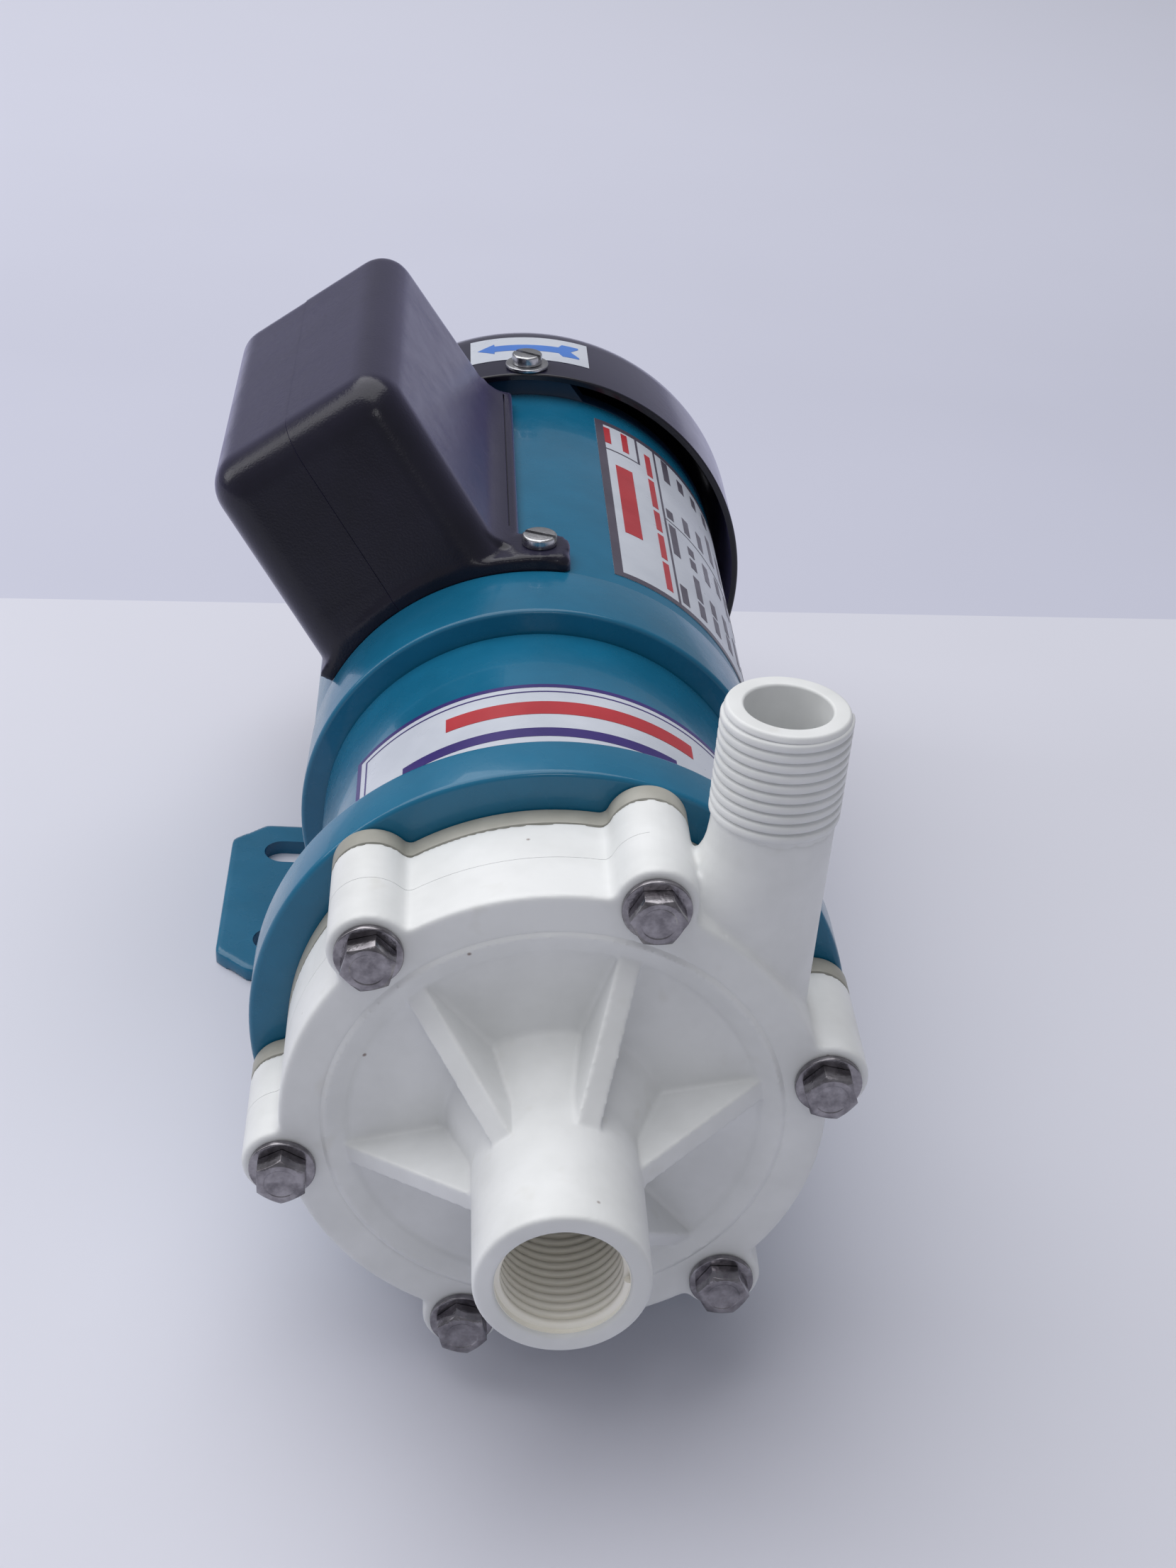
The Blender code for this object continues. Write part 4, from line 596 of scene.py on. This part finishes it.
def makeRearCasing():
    r = rearCasing
    plate = extruded("plate", lobedOutline(r["rim"], bolts["lobe"], casing["lobeBlend"]), r["front"], r["rear"])
    for hole in boltHoles(r["front"] - 2, r["rear"] + 2, bolts["hole"]):
        cutWith(plate, hole)
    cutWith(plate, rod("eye", (0, r["front"] - 2, shaftZ), (0, r["rear"] + 2, shaftZ), r["can"] - 1.0, 96))
    cutWith(plate, spun("groove", [(r["front"] - 1, r["groove"][0]), (r["front"] - 1, r["groove"][1]),
        (r["grooveFloor"], r["groove"][1]), (r["grooveFloor"], r["groove"][0])]))
    bevelCorners(plate, 0.25, 2, 50)
    inner = r["can"] - r["canWall"]
    can = spun("can", [(r["front"] + 0.2, inner), (r["front"] + 0.2, r["can"]), (r["canEnd"], r["can"], 3.0),
        (r["canEnd"], 0.0), (r["socketFront"] + 5.0, 0.0), (r["socketFront"] + 5.0, r["spindle"]),
        (r["socketFront"], r["spindle"]), (r["socketFront"], r["socket"]),
        (r["canFloor"], r["socket"]), (r["canFloor"], inner, 1.5)], 96)
    piece = joinPieces([plate, can])
    finishPiece(piece, "rearCasing", "creamPlastic", "rear_casing")


boltShape = {"headFront": -153.0, "headRear": -149.6, "across": 8.0, "shank": 3.0, "tip": -114.2,
    "washer": 5.6, "washerFront": -149.5, "washerRear": -148.3, "washerHole": 3.3, "firstTurn": -11.0,
    "nextTurn": 14.0}


def makeBolts():
    b = boltShape
    corner = b["across"] / 2 / cos(pi / 6)
    for number, angle in enumerate(boltAngles, 1):
        place = onShaft(bolts["circle"], angle, 0) - axisPoint / mm
        turn = b["firstTurn"] + b["nextTurn"] * (number - 1)
        hexagon = [(corner * cos(radians(turn + 60 * k)), corner * sin(radians(turn + 60 * k))) for k in range(6)]
        head = extruded("head", hexagon, b["headFront"], b["headRear"])
        crown = spun("crown", [(b["headFront"] + 0.12, 0.0), (b["headFront"] + 0.12, b["across"] / 2 - 1.3),
            (b["headFront"], b["across"] / 2 - 1.1), (b["headFront"], b["across"] / 2 - 0.3),
            (b["headFront"] + 0.5, corner + 0.05), (b["headRear"] + 1, corner + 0.05),
            (b["headRear"] + 1, 0.0)], 48)
        cutWith(head, crown, 'INTERSECT')
        bevelCorners(head, 0.08, 2, 25)
        shank = spun("shank", [(b["headRear"] - 0.5, 0.0), (b["headRear"] - 0.5, b["shank"]),
            (b["tip"], b["shank"], 0.6), (b["tip"], 0.0)], 24)
        piece = joinPieces([head, shank])
        moved(piece, *place)
        finishPiece(piece, f"casingBolt{number}", "boltSteel", f"casing_bolt_{number}")
        washer = spun("washer", [(b["washerFront"], b["washerHole"]), (b["washerFront"], b["washer"], 0.25),
            (b["washerRear"], b["washer"], 0.25), (b["washerRear"], b["washerHole"])], 48)
        moved(washer, *place)
        finishPiece(washer, f"casingWasher{number}", "boltSteel", f"casing_washer_{number}")


bracket = {"front": -122.2, "flangeRear": -111.3, "rear": -53.7, "flange": 52.5, "barrel": 42.8, "wall": 3.6,
    "rearWall": 5.2, "rearBore": 22.0, "edge": 1.0, "neck": 1.6, "hole": 3.1}


def makeBracket():
    b = bracket
    inner = b["barrel"] - b["wall"]
    piece = spun("bracket", [
        (b["front"], inner), (b["front"], b["flange"], b["edge"]), (b["flangeRear"], b["flange"], b["edge"]),
        (b["flangeRear"], b["barrel"], b["neck"]), (b["rear"], b["barrel"], 0.6), (b["rear"], b["rearBore"]),
        (b["rear"] - b["rearWall"], b["rearBore"]), (b["rear"] - b["rearWall"], inner)], 192)
    for hole in boltHoles(b["front"] - 1, b["flangeRear"] + 1, b["hole"]):
        cutWith(piece, hole)
    finishPiece(piece, "lanternBracket", "tealEnamel", "lantern_bracket")


motor = {"shieldFront": -53.4, "shieldRear": -34.9, "shield": 47.5, "shieldEdge": 0.9, "draft": 0.6,
    "noseFront": -56.9, "nose": 20.0, "noseBore": 7.5, "pocketFront": -54.4, "pocket": 16.1, "housingRear": -42.9,
    "wallRear": -47.9, "skirt": 44.0, "frameFront": -34.6, "frameRear": 60.8, "frame": 46.5,
    "frameInner": 43.2, "rearFront": 61.1, "rearRear": 66.6,
    "rearPlate": 59.1, "spigot": 56.1, "spigotInner": 39.5, "rearHousing": 52.6, "lip": 64.1, "lipBore": 7.5,
    "lugHalf": 11.0, "lugTop": 50.3, "screwY": 63.3, "screwHole": 2.05,
    "lugAngles": (93.0, 213.0, 333.0)}


def makeMotorShell():
    m = motor
    shield = spun("shield", [
        (m["noseFront"], m["noseBore"]), (m["noseFront"], m["nose"]), (m["shieldFront"], m["nose"]),
        (m["shieldFront"], m["shield"], m["shieldEdge"]), (m["shieldRear"], m["shield"] - m["draft"], 0.4),
        (m["shieldRear"], m["skirt"]), (m["wallRear"], m["skirt"]), (m["wallRear"], m["nose"]),
        (m["housingRear"], m["nose"]), (m["housingRear"], m["pocket"]), (m["pocketFront"], m["pocket"]),
        (m["pocketFront"], m["noseBore"])], 192, 8)
    finishPiece(shield, "frontEndShield", "tealEnamel", "front_end_shield")
    shell = spun("shell", [(m["frameFront"], m["frameInner"]), (m["frameFront"], m["frame"], 0.5),
        (m["frameRear"], m["frame"], 0.5), (m["frameRear"], m["frameInner"])], 192)
    finishPiece(shell, "motorFrame", "tealEnamel", "motor_frame")
    rear = spun("rearShield", [
        (m["rearHousing"], m["pocket"]), (m["rearHousing"], m["nose"]), (m["rearPlate"], m["nose"]),
        (m["rearPlate"], m["spigotInner"]), (m["spigot"], m["spigotInner"]), (m["spigot"], m["frameInner"] - 0.3),
        (m["rearFront"], m["frameInner"] - 0.3), (m["rearFront"], m["frame"], 0.5),
        (m["rearRear"], m["frame"], 1.0), (m["rearRear"], m["lipBore"]), (m["lip"], m["lipBore"]),
        (m["lip"], m["pocket"])], 144)
    for angle in m["lugAngles"]:
        half, shoulder = m["lugHalf"], 2 * m["lugHalf"]
        outline = arcPoints(m["lugTop"], angle - half, 2 * half, 12)
        outline += arcPoints(m["frame"] - 3, angle + shoulder, -2 * shoulder, 6)
        cutWith(rear, extruded("lug", outline, m["rearFront"] + 0.05, m["rearRear"] - 0.05), 'UNION')
    for angle in m["lugAngles"]:
        cutWith(rear, rod("hole", onShaft(m["frame"] - 5, angle, m["screwY"]),
            onShaft(m["lugTop"] + 2, angle, m["screwY"]), m["screwHole"], 24))
    # the rear end shield takes the teal painted dark: painted shade under the fan cover's edge
    finishPiece(rear, "rearEndShield", "tealPaintedShade", "rear_end_shield")


cover = {"front": 58.6, "rear": 102.1, "radius": 52.3, "wall": 1.5, "round": 19.5,
    "slots": 16, "slotWidth": 3.0, "slotInner": 12.0, "slotOuter": 34.0, "screwHole": 2.3}


def makeCover():
    c = cover
    bend = c["round"]
    inner = c["radius"] - c["wall"]
    piece = spun("cover", [(c["front"], inner), (c["front"], c["radius"], 0.5), (c["rear"], c["radius"], bend),
        (c["rear"], 0.0), (c["rear"] - c["wall"], 0.0),
        (c["rear"] - c["wall"], inner, bend - c["wall"])], 192, 14)
    for i in range(c["slots"]):
        tool = slab("slot", (-c["slotWidth"] / 2, c["rear"] - 3, shaftZ + c["slotInner"]),
            (c["slotWidth"] / 2, c["rear"] + 1, shaftZ + c["slotOuter"]))
        cutWith(piece, turned(tool, i * 360.0 / c["slots"]))
    for angle in motor["lugAngles"]:
        cutWith(piece, rod("hole", onShaft(c["radius"] - 5, angle, motor["screwY"]),
            onShaft(c["radius"] + 5, angle, motor["screwY"]), c["screwHole"], 24))
    finishPiece(piece, "fanCover", "coverBlack", "fan_cover")


screwShape = {"shank": 2.0, "head": 3.5, "height": 2.6, "coverHeight": 2.3, "boxHeight": 2.1, "slotWidth": 1.1,
    "slotDepth": 1.2, "washer": 5.0, "washerThick": 0.8, "coverTip": 8.5, "boxTip": 46.7, "lidTip": 13.3}


def cheeseScrew(low, tip, slotTurn, height):  # stands along z, its underside at low
    s = screwShape
    piece = spun("screw", [(tip, 0.0), (tip, s["shank"]), (low, s["shank"]), (low, s["head"], 0.15),
        (low + height, s["head"], 0.45), (low + height, 0.0)], 48)
    stoodUp(piece)
    top = low + height
    tool = slab("slot", (-6, -s["slotWidth"] / 2, top - s["slotDepth"]), (6, s["slotWidth"] / 2, top + 1))
    tool.data.transform(Matrix.Rotation(radians(slotTurn), 4, 'Z'))
    cutWith(piece, tool)
    return piece


def standOn(piece, angle, y):  # from along z to pointing out of the shaft at an angle
    piece.data.transform(Matrix.Translation(Vector((0, y, shaftZ)) * mm)
        @ Matrix.Rotation(-radians(angle - 90.0), 4, 'Y'))
    return piece


def makeCoverScrews():
    c, s = cover, screwShape
    washerLow = c["radius"] + 0.1
    for number, angle in enumerate(motor["lugAngles"], 1):
        screw = cheeseScrew(washerLow + s["washerThick"] + 0.1, c["radius"] - s["coverTip"], 25.0 * number - 60.0,
            s["coverHeight"])
        finishPiece(standOn(screw, angle, motor["screwY"]), f"coverScrew{number}", "groundSteel",
            f"fan_cover_screw_{number}")
        washer = stoodUp(spun("washer", [(washerLow, c["screwHole"]), (washerLow, s["washer"], 0.2),
            (washerLow + s["washerThick"], s["washer"], 0.2),
            (washerLow + s["washerThick"], c["screwHole"])], 48))
        finishPiece(standOn(washer, angle, motor["screwY"]), f"coverWasher{number}", "groundSteel",
            f"fan_cover_washer_{number}")


# the terminal box is drawn upright over the shaft and then tilted to the left
box = {"tilt": 36.4, "left": -23.2, "right": 20.6, "seam": -2.4, "top": 87.34, "front": -29.0, "rear": 58.0,
    "round": 7.0, "wall": 2.5, "saddle": 46.8, "flange": 49.6, "flangeFront": -34.6, "earAngle": 56.3,
    "ear": 6.2, "stripAngle": 61.0, "flangeEnd": 119.5, "post": 4.0, "postInset": 11.4,
    "frontTop": -25.5, "frontLow": -34.2, "lowAt": 49.0, "lidIn": 0.15,
    "flare": 8.0, "stripSpan": 7.3, "grooveAngle": 62.9, "lidBoss": 5.8, "bossDepth": 7.0, "counterbore": 3.2,
    "bossHole": 4.3, "screwHole": 2.3, "wallLow": 38.0, "hollowLow": 30.0, "seamGap": 0.1, "voxel": 0.62,
    "keep": 0.6}


def bentPlate(name, start, end, front, rear, inner, outer):
    steps = max(3, int(abs(end - start) / 3))
    outline = arcPoints(outer, start, end - start, steps) + arcPoints(inner, end, start - end, steps)
    return extruded(name, outline, front, rear)


def keepPart(piece, left=-60, right=60, front=-60):  # keeps what lies above the shaft between these planes
    cutWith(piece, slab("keep", (left, front, shaftZ), (right, 90, shaftZ + 100)), 'INTERSECT')


def leanFront(piece, wall=0.0):  # the box's front wall leans back towards the top
    b = box
    slope = (b["frontTop"] - b["frontLow"]) / (b["top"] - b["lowAt"])
    front = min(vert.co.y for vert in piece.data.vertices)
    for vert in piece.data.vertices:
        if vert.co.y < front + 0.1 * mm:
            height = vert.co.z / mm - shaftZ
            vert.co.y = (b["frontTop"] - slope * (b["top"] - height) + wall) * mm


def boxShell():
    b = box
    low = shaftZ + b["wallLow"]
    shell = slab("shell", (b["left"], b["front"], low), (b["right"], b["rear"], shaftZ + b["top"]))
    leanFront(shell)
    bevelEdges(shell, b["round"], 8, lambda *ends: max(end.z for end in ends) > low + 1)
    hollow = slab("hollow", (b["left"] + b["wall"], b["front"] + b["wall"], shaftZ + b["hollowLow"]),
        (b["right"] - b["wall"], b["rear"] - b["wall"], shaftZ + b["top"] - b["wall"]))
    leanFront(hollow, b["wall"])
    bevelCorners(hollow, b["round"] - b["wall"], 4, 60)
    cutWith(shell, hollow)
    keepPart(shell, front=b["flangeFront"])
    return shell


def flaredStrip():  # the foot of the box's right wall, with the hollow curve above it
    b = box
    inner, toe = b["saddle"] - 3, b["stripAngle"]
    outline = arcPoints(inner, toe + b["stripSpan"], -b["stripSpan"], 4)
    toeX, toeZ = b["flange"] * cos(radians(toe)), b["flange"] * sin(radians(toe))
    middle = Vector((b["right"] + b["flare"], 0))
    drop = degrees(acos((middle.x - toeX) / b["flare"]))
    middle.y = toeZ + b["flare"] * sin(radians(drop))
    outline += arcPoints(b["flare"], 180 + drop, -drop, 10, middle)
    outline.append((b["right"] - b["wall"] / 2, middle.y))
    return extruded("strip", outline, b["front"], b["rear"] - b["round"] / 2)


def makeBox():
    b, s = box, screwShape
    flange = bentPlate("flange", b["earAngle"], b["flangeEnd"], b["flangeFront"], b["front"] + 2, b["saddle"] - 3,
        b["flange"])
    earY = b["flangeFront"] + b["ear"] + 0.1
    earLow, earTop = shaftZ + b["saddle"] - 4, shaftZ + b["flange"] + 0.1
    ear = rod("ear", (0, earY, earLow), (0, earY, earTop), b["ear"], 48)
    corner = slab("corner", (-b["ear"], earY - b["ear"], earLow), (b["ear"], earY, earTop))
    bevelCorners(corner, 1.9, 4, 60)
    ear = turned(joinPieces([ear, corner]), b["earAngle"] - 90)
    whole = moulded([boxShell(), flange, flaredStrip(), ear], b["voxel"], 3, b["keep"])
    cutWith(whole, rod("saddle", (0, -60, shaftZ), (0, 90, shaftZ), b["saddle"], 144))
    cutWith(whole, bentPlate("groove", b["grooveAngle"], b["grooveAngle"] + 0.4, b["front"] + 9, b["rear"] - 6,
        b["flange"] - 0.5, b["flange"] + 1.5))
    lid = copyPiece(whole, "lid")
    keepPart(whole, left=b["seam"] + b["seamGap"])
    keepPart(lid, right=b["seam"] - b["seamGap"])
    postHeight = shaftZ + b["top"] - b["postInset"]
    posts = (b["front"] + b["postInset"], b["rear"] - b["postInset"])
    bossEnd = b["left"] + b["bossDepth"]
    pillars = [rod("post", (bossEnd + 0.3, y, postHeight), (b["right"] - 1.0, y, postHeight), b["post"], 36)
        for y in posts]
    cutWith(whole, joinPieces(pillars), 'UNION')
    finishPiece(turned(whole, b["tilt"]), "terminalBoxBase", "boxBlack", "terminal_box_base", angle=50)
    middle = (b["front"] + b["rear"]) / 2
    for vert in lid.data.vertices:  # the lid stands a hair inside the base all round
        vert.co.y += (b["lidIn"] if vert.co.y / mm < middle else -b["lidIn"]) * mm
        if vert.co.z / mm > shaftZ + b["lowAt"] + 5:
            vert.co.z -= b["lidIn"] * mm
    bosses = [rod("boss", (b["left"] + 1, y, postHeight), (bossEnd, y, postHeight), b["lidBoss"], 36)
        for y in posts]
    cutWith(lid, joinPieces(bosses), 'UNION')
    seat = b["left"] + b["counterbore"]
    for low, high, radius, sides in ((b["left"] - 5, seat, b["bossHole"], 36),
            (b["left"] + 2, bossEnd + 2, b["screwHole"], 24)):
        for y in posts:
            cutWith(lid, rod("hole", (low, y, postHeight), (high, y, postHeight), radius, sides))
    finishPiece(turned(lid, b["tilt"]), "terminalBoxLid", "boxBlack", "terminal_box_lid", angle=50)
    screw = cheeseScrew(b["flange"] + 0.2, s["boxTip"], -25.0, s["boxHeight"])
    finishPiece(standOn(screw, b["earAngle"] + b["tilt"], earY), "boxScrew", "groundSteel", "box_screw")
    for number, y in enumerate(posts, 1):
        screw = cheeseScrew(0.1 - seat, -bossEnd - s["lidTip"], 40.0 * number, s["height"])
        screw.data.transform(Matrix.Translation(Vector((0, y, postHeight)) * mm)
            @ Matrix.Rotation(-pi / 2, 4, 'Y'))
        finishPiece(turned(screw, b["tilt"]), f"lidScrew{number}", "groundSteel", f"lid_screw_{number}")


foot = {"halfX": 67.5, "halfY": 30.3, "thick": 3.5, "chamferX": 8.0, "chamferY": 7.0, "slotX": 52.5,
    "slotY": 18.3, "slotWidth": 9.0, "slotLength": 14.0, "saddle": 46.8, "pedestal": 39.0, "pedestalTop": 34.0,
    "pedestalY": 24.0, "windowInner": 5.0, "windowOuter": 24.0, "windowTop": 9.4, "voxel": 0.8, "keep": 0.5}


def makeFoot():
    f = foot
    x, y, cx, cy = f["halfX"], f["halfY"], f["chamferX"], f["chamferY"]
    corners = []
    for sx, sy, flip in ((-1, -1, False), (1, -1, True), (1, 1, False), (-1, 1, True)):
        pair = [(sx * x, sy * (y - cy), 3.0), (sx * (x - cx), sy * y, 3.0)]
        corners += pair[::-1] if flip else pair
    plate = drawLoop("plate", [Vector((a, b, 0)) * mm for a, b in roundCorners(corners)])
    pushOut(plate, (0, 0, f["thick"] * mm))
    pedestal = extruded("pedestal", [(-f["pedestal"], -58.0), (f["pedestal"], -58.0),
        (f["pedestalTop"] + 4, -26.0), (-f["pedestalTop"] - 4, -26.0)], -f["pedestalY"], f["pedestalY"])
    cutWith(pedestal, rod("saddle", (0, -60, shaftZ), (0, 60, shaftZ), f["saddle"], 144))
    for side in (-1, 1):
        low, high = sorted((side * f["windowInner"], side * f["windowOuter"]))
        cutWith(pedestal, slab("window", (low, -40, f["thick"]), (high, 40, f["windowTop"])))
    piece = moulded([plate, pedestal], f["voxel"], 2, f["keep"])
    half, radius = (f["slotLength"] - f["slotWidth"]) / 2, f["slotWidth"] / 2
    for slotX in (-f["slotX"], f["slotX"]):
        for slotY in (-f["slotY"], f["slotY"]):
            for end in (slotX - half, slotX + half):
                cutWith(piece, rod("end", (end, slotY, -2), (end, slotY, 6), radius, 48))
            cutWith(piece, slab("slot", (slotX - half, slotY - radius, -2), (slotX + half, slotY + radius, 6)))
    finishPiece(piece, "motorFoot", "tealEnamel", "foot", angle=60)


# stickers: thin sheets bent round the shaft, with their printed lines as thinner sheets on top

sheets = {"lift": 0.05, "printLift": 0.12, "thick": 0.06, "bend": 2.0}  # bend: degrees between two folds


def gridPiece(along):
    letGo()
    bpy.ops.mesh.primitive_grid_add(x_subdivisions=along, y_subdivisions=1, size=2, location=(0, 0, 0))
    return bpy.context.object


def thicken(piece):
    applyModifier(piece, 'SOLIDIFY', thickness=sheets["thick"] * mm, offset=1.0)
    tidyMesh(piece)
    return piece


def bentSheet(radius, start, end, front, rear, lift=sheets["printLift"]):
    piece = gridPiece(max(1, int(abs(end - start) / sheets["bend"])))
    for vert in piece.data.vertices:
        share, depth = (vert.co.x + 1) / 2, (vert.co.y + 1) / 2
        vert.co = onShaft(radius + lift, start + (end - start) * share, front + (rear - front) * depth) * mm
    return thicken(piece)


def printedFrame(radius, start, end, front, rear, line):
    turn = degrees(line / radius)
    return [bentSheet(radius, start, end, front, front + line), bentSheet(radius, start, end, rear - line, rear),
        bentSheet(radius, start, start - turn, front, rear), bentSheet(radius, end + turn, end, front, rear)]


bracketSticker = {"area": (146.7, 30.0, -108.0, -74.5), "line": 1.15, "inset": 2.6, "innerLine": 0.35,
    "bar": (118.0, 54.0, -85.6, -81.0), "under": (130.0, 60.0, -93.6, -90.6)}
namePlate = {
    "area": (73.6, -20.0, -30.0, 52.5), "line": 2.0, "divide": 54.4, "side": 60.9,
    "cell": 36.2, "cross": 14.0, "wordHeight": 2.5,
    "words": {51.6: ((-26, -17.4), (-2.7, 12.4), (16, 20.6)),
        44.8: ((-25, -18), (-16.5, -5.6), (-1.6, 3), (5, 9), (16, 24)),
        38.2: ((-24, -17), (-15.5, -9.3), (0, 9), (17, 25.5)),
        31.0: ((-22, -15.5), (-14, -6.4), (4, 12), (20, 34)),
        24.5: ((-20, -8), (3, 12), (20, 32)), 18.0: ((-24, -12), (3, 14), (18, 26)),
        11.5: ((-24, -10), (3, 12)), 49.9: ((38, 50),), 43.5: ((40.6, 47),), 36.9: ((41.4, 47),),
        30.0: ((42, 48),)},
    "redWords": {70.2: ((40, 49),), 64.6: ((39, 49.5),),
        57.0: ((-25, -12), (-10, 2), (4, 14), (16, 31), (33, 45))},
    "nameWords": {66.2: ((-7, 28.6),)}, "redHeight": 2.0, "nameHeight": 5.2,
}
arrowSticker = {"area": (107.5, 76.5, 67.8, 82.5), "middle": 75.4,
    "arrow": [(105.6, 0.0, 0.0), (101.2, 0.0, 3.1), (101.1, 0.0, 1.8), (84.4, 0.0, 1.9),
        (83.4, 0.0, 3.8), (81.2, 0.0, 3.7), (79.0, 2.8, 3.6)]}


def closeStations(stations):  # adds places between the given ones, so that the sheet keeps its bend
    filled = [stations[0]]
    for low, high in zip(stations, stations[1:]):
        count = max(1, round(abs(high[0] - low[0]) / sheets["bend"]))
        filled += [tuple(a + (b - a) * k / count for a, b in zip(low, high)) for k in range(1, count + 1)]
    return filled


def wordBars(radius, rows, height):
    return [bentSheet(radius, angle + height / 2, angle - height / 2, low, high)
        for angle, words in rows.items() for low, high in words]


def bentArrow(radius, stations, middle):  # stations: angle, inner and outer half width
    halves = []
    stations = closeStations(stations)
    last = len(stations) - 1
    for side in (1, -1):
        half = gridPiece(last)
        for vert in half.data.vertices:
            angle, inner, outer = stations[round((vert.co.x + 1) / 2 * last)]
            away = side * (inner if vert.co.y < 0 else outer)
            vert.co = onShaft(radius + sheets["printLift"], angle, middle + away) * mm
        halves.append(half)
    piece = joinPieces(halves)
    tidyMesh(piece, 0.00001)
    return thicken(piece)


def makeSheet(name, radius, s):
    finishPiece(bentSheet(radius, *s["area"], sheets["lift"]), name, "stickerWhite")
    return s["area"]


def makeStickers():
    s, radius = bracketSticker, bracket["barrel"]
    start, end, front, rear = makeSheet("bracketSticker", radius, s)
    inset, turn = s["inset"], degrees(s["inset"] / radius)
    lines = printedFrame(radius, start, end, front, rear, s["line"])
    lines += printedFrame(radius, start - turn, end + turn, front + inset, rear - inset, s["innerLine"])
    lines.append(bentSheet(radius, *s["under"]))
    finishPiece(joinPieces(lines), "bracketStickerLines", "printPurple")
    finishPiece(bentSheet(radius, *s["bar"]), "bracketStickerBar", "printRed")

    s, radius = namePlate, motor["frame"]
    start, end, front, rear = makeSheet("namePlate", radius, s)
    lines = printedFrame(radius, start, end, front, rear, s["line"])
    for line in ((s["divide"], s["divide"] - 0.7, front, rear), (start, s["side"], s["cell"], s["cell"] + 0.5),
            (s["side"], s["side"] - 0.7, s["cell"], rear), (s["divide"], end, s["cross"], s["cross"] + 0.3)):
        lines.append(bentSheet(radius, *line))
    lines += wordBars(radius, s["words"], s["wordHeight"])
    finishPiece(joinPieces(lines), "namePlateLines", "printGrey")
    bars = wordBars(radius, s["redWords"], s["redHeight"]) + wordBars(radius, s["nameWords"], s["nameHeight"])
    finishPiece(joinPieces(bars), "namePlateBars", "printRed")

    s, radius = arrowSticker, cover["radius"]
    makeSheet("arrowSticker", radius, s)
    finishPiece(bentArrow(radius, s["arrow"], s["middle"]), "turningArrow", "printBlue")


# floor, backdrop, lamps and camera

# farPaintedLight: the lighter colour blended onto the backdrop far away, painted light for a wall lit more
# towards its top
stage = {"floor": (0.66, 0.665, 0.745), "far": (0.555, 0.565, 0.675), "farPaintedLight": (0.76, 0.77, 0.88),
    "edge": 0.1613, "turn": 4.19, "size": 3.0, "darker": 0.96}


def stageFinish(name, colour, far=None):
    made, tree, shader, where = startMaterial(name)
    share = spread(tree, noise(tree, where, 4, 3.0), 0.0, 1.0)
    dark = tuple(c * stage["darker"] for c in colour)
    paper = blendColours(tree, share, dark, colour)
    if far:  # painted light: the backdrop is painted lighter with the distance, standing in for a wall lit more towards its top
        parts = tree.nodes.new("ShaderNodeSeparateXYZ")
        tree.links.new(where, parts.inputs["Vector"])
        paper = blendColours(tree, spread(tree, parts.outputs["Y"], 0.0, 1.0, 0.35, 1.3), paper, far)
    tree.links.new(paper, shader.inputs["Base Color"])
    shader.inputs["Roughness"].default_value = 0.85
    return made


def makeStage():
    s = stage
    letGo()
    for name, colour, far, side, low in (("floor", s["floor"], None, -1, 0.0),
            ("farFloor", s["far"], s["farPaintedLight"], 1, -0.0005)):
        bpy.ops.mesh.primitive_plane_add(size=2 * s["size"], location=(0, side * s["size"], 0))
        sheet = bpy.context.object
        sheet.name = name
        applyPlace(sheet)
        sheet.data.transform(Matrix.Translation((0, s["edge"], low))
            @ Matrix.Rotation(radians(s["turn"]), 4, 'Z'))
        sheet.data.materials.append(stageFinish(name + "Paper", colour, far))


lamps = {
    "overhead": {"place": (-0.4, 0.25, 1.4), "aim": (0, 0, 0.05), "size": 1.9, "power": 24.0},
    "left": {"place": (-1.3, 0.1, 0.65), "aim": (0, -0.05, 0.05), "size": 0.5, "power": 2.2},
    "front": {"place": (0.0, -0.62, 0.45), "aim": (0, -0.15, 0.06), "size": 0.12, "power": 0.18},
}


def makeLamps():
    for name, look in lamps.items():
        light = bpy.data.lights.new(name, 'AREA')
        light.size = look["size"]
        light.energy = look["power"]
        lamp = bpy.data.objects.new(name, light)
        bpy.context.scene.collection.objects.link(lamp)
        lamp.location = look["place"]
        direction = Vector(look["aim"]) - lamp.location
        lamp.rotation_euler = direction.to_track_quat('-Z', 'Y').to_euler()
    world = bpy.data.worlds.new("room")
    bpy.context.scene.world = world
    world.use_nodes = True
    background = world.node_tree.nodes["Background"]
    background.inputs["Color"].default_value = (0.93, 0.94, 1.0, 1.0)
    background.inputs["Strength"].default_value = 0.3


view = {"place": (-28.1, -441.9, 302.4), "down": 30.86, "toward": 5.53, "roll": 5.41, "lens": 52.13}


def makeCamera():
    v = view
    down, toward, roll = radians(v["down"]), radians(v["toward"]), radians(v["roll"])
    forward = Vector((sin(toward) * cos(down), cos(toward) * cos(down), -sin(down)))
    right = Vector((cos(toward), -sin(toward), 0))
    up = Vector((sin(toward) * sin(down), cos(toward) * sin(down), cos(down)))
    tiltedRight = right * cos(roll) + up * sin(roll)
    tiltedUp = up * cos(roll) - right * sin(roll)
    data = bpy.data.cameras.new("camera")
    data.sensor_width = 36.0
    data.lens = v["lens"]
    data.clip_start = 0.01
    camera = bpy.data.objects.new("camera", data)
    bpy.context.scene.collection.objects.link(camera)
    turn = Matrix((tiltedRight, tiltedUp, -forward)).transposed().to_4x4()
    camera.matrix_world = Matrix.Translation(Vector(v["place"]) * mm) @ turn
    bpy.context.scene.camera = camera


for make in (makeFrontCasing, makeDischargeThread, makeSuctionThread, makeRearCasing, makeBolts, makeBracket,
        makeMotorShell, makeCover, makeCoverScrews, makeBox, makeFoot, makeStickers, makeStage, makeLamps,
        makeCamera):
    make()
    print(make.__name__, "done")
bpy.context.scene.view_settings.view_transform = 'Standard'
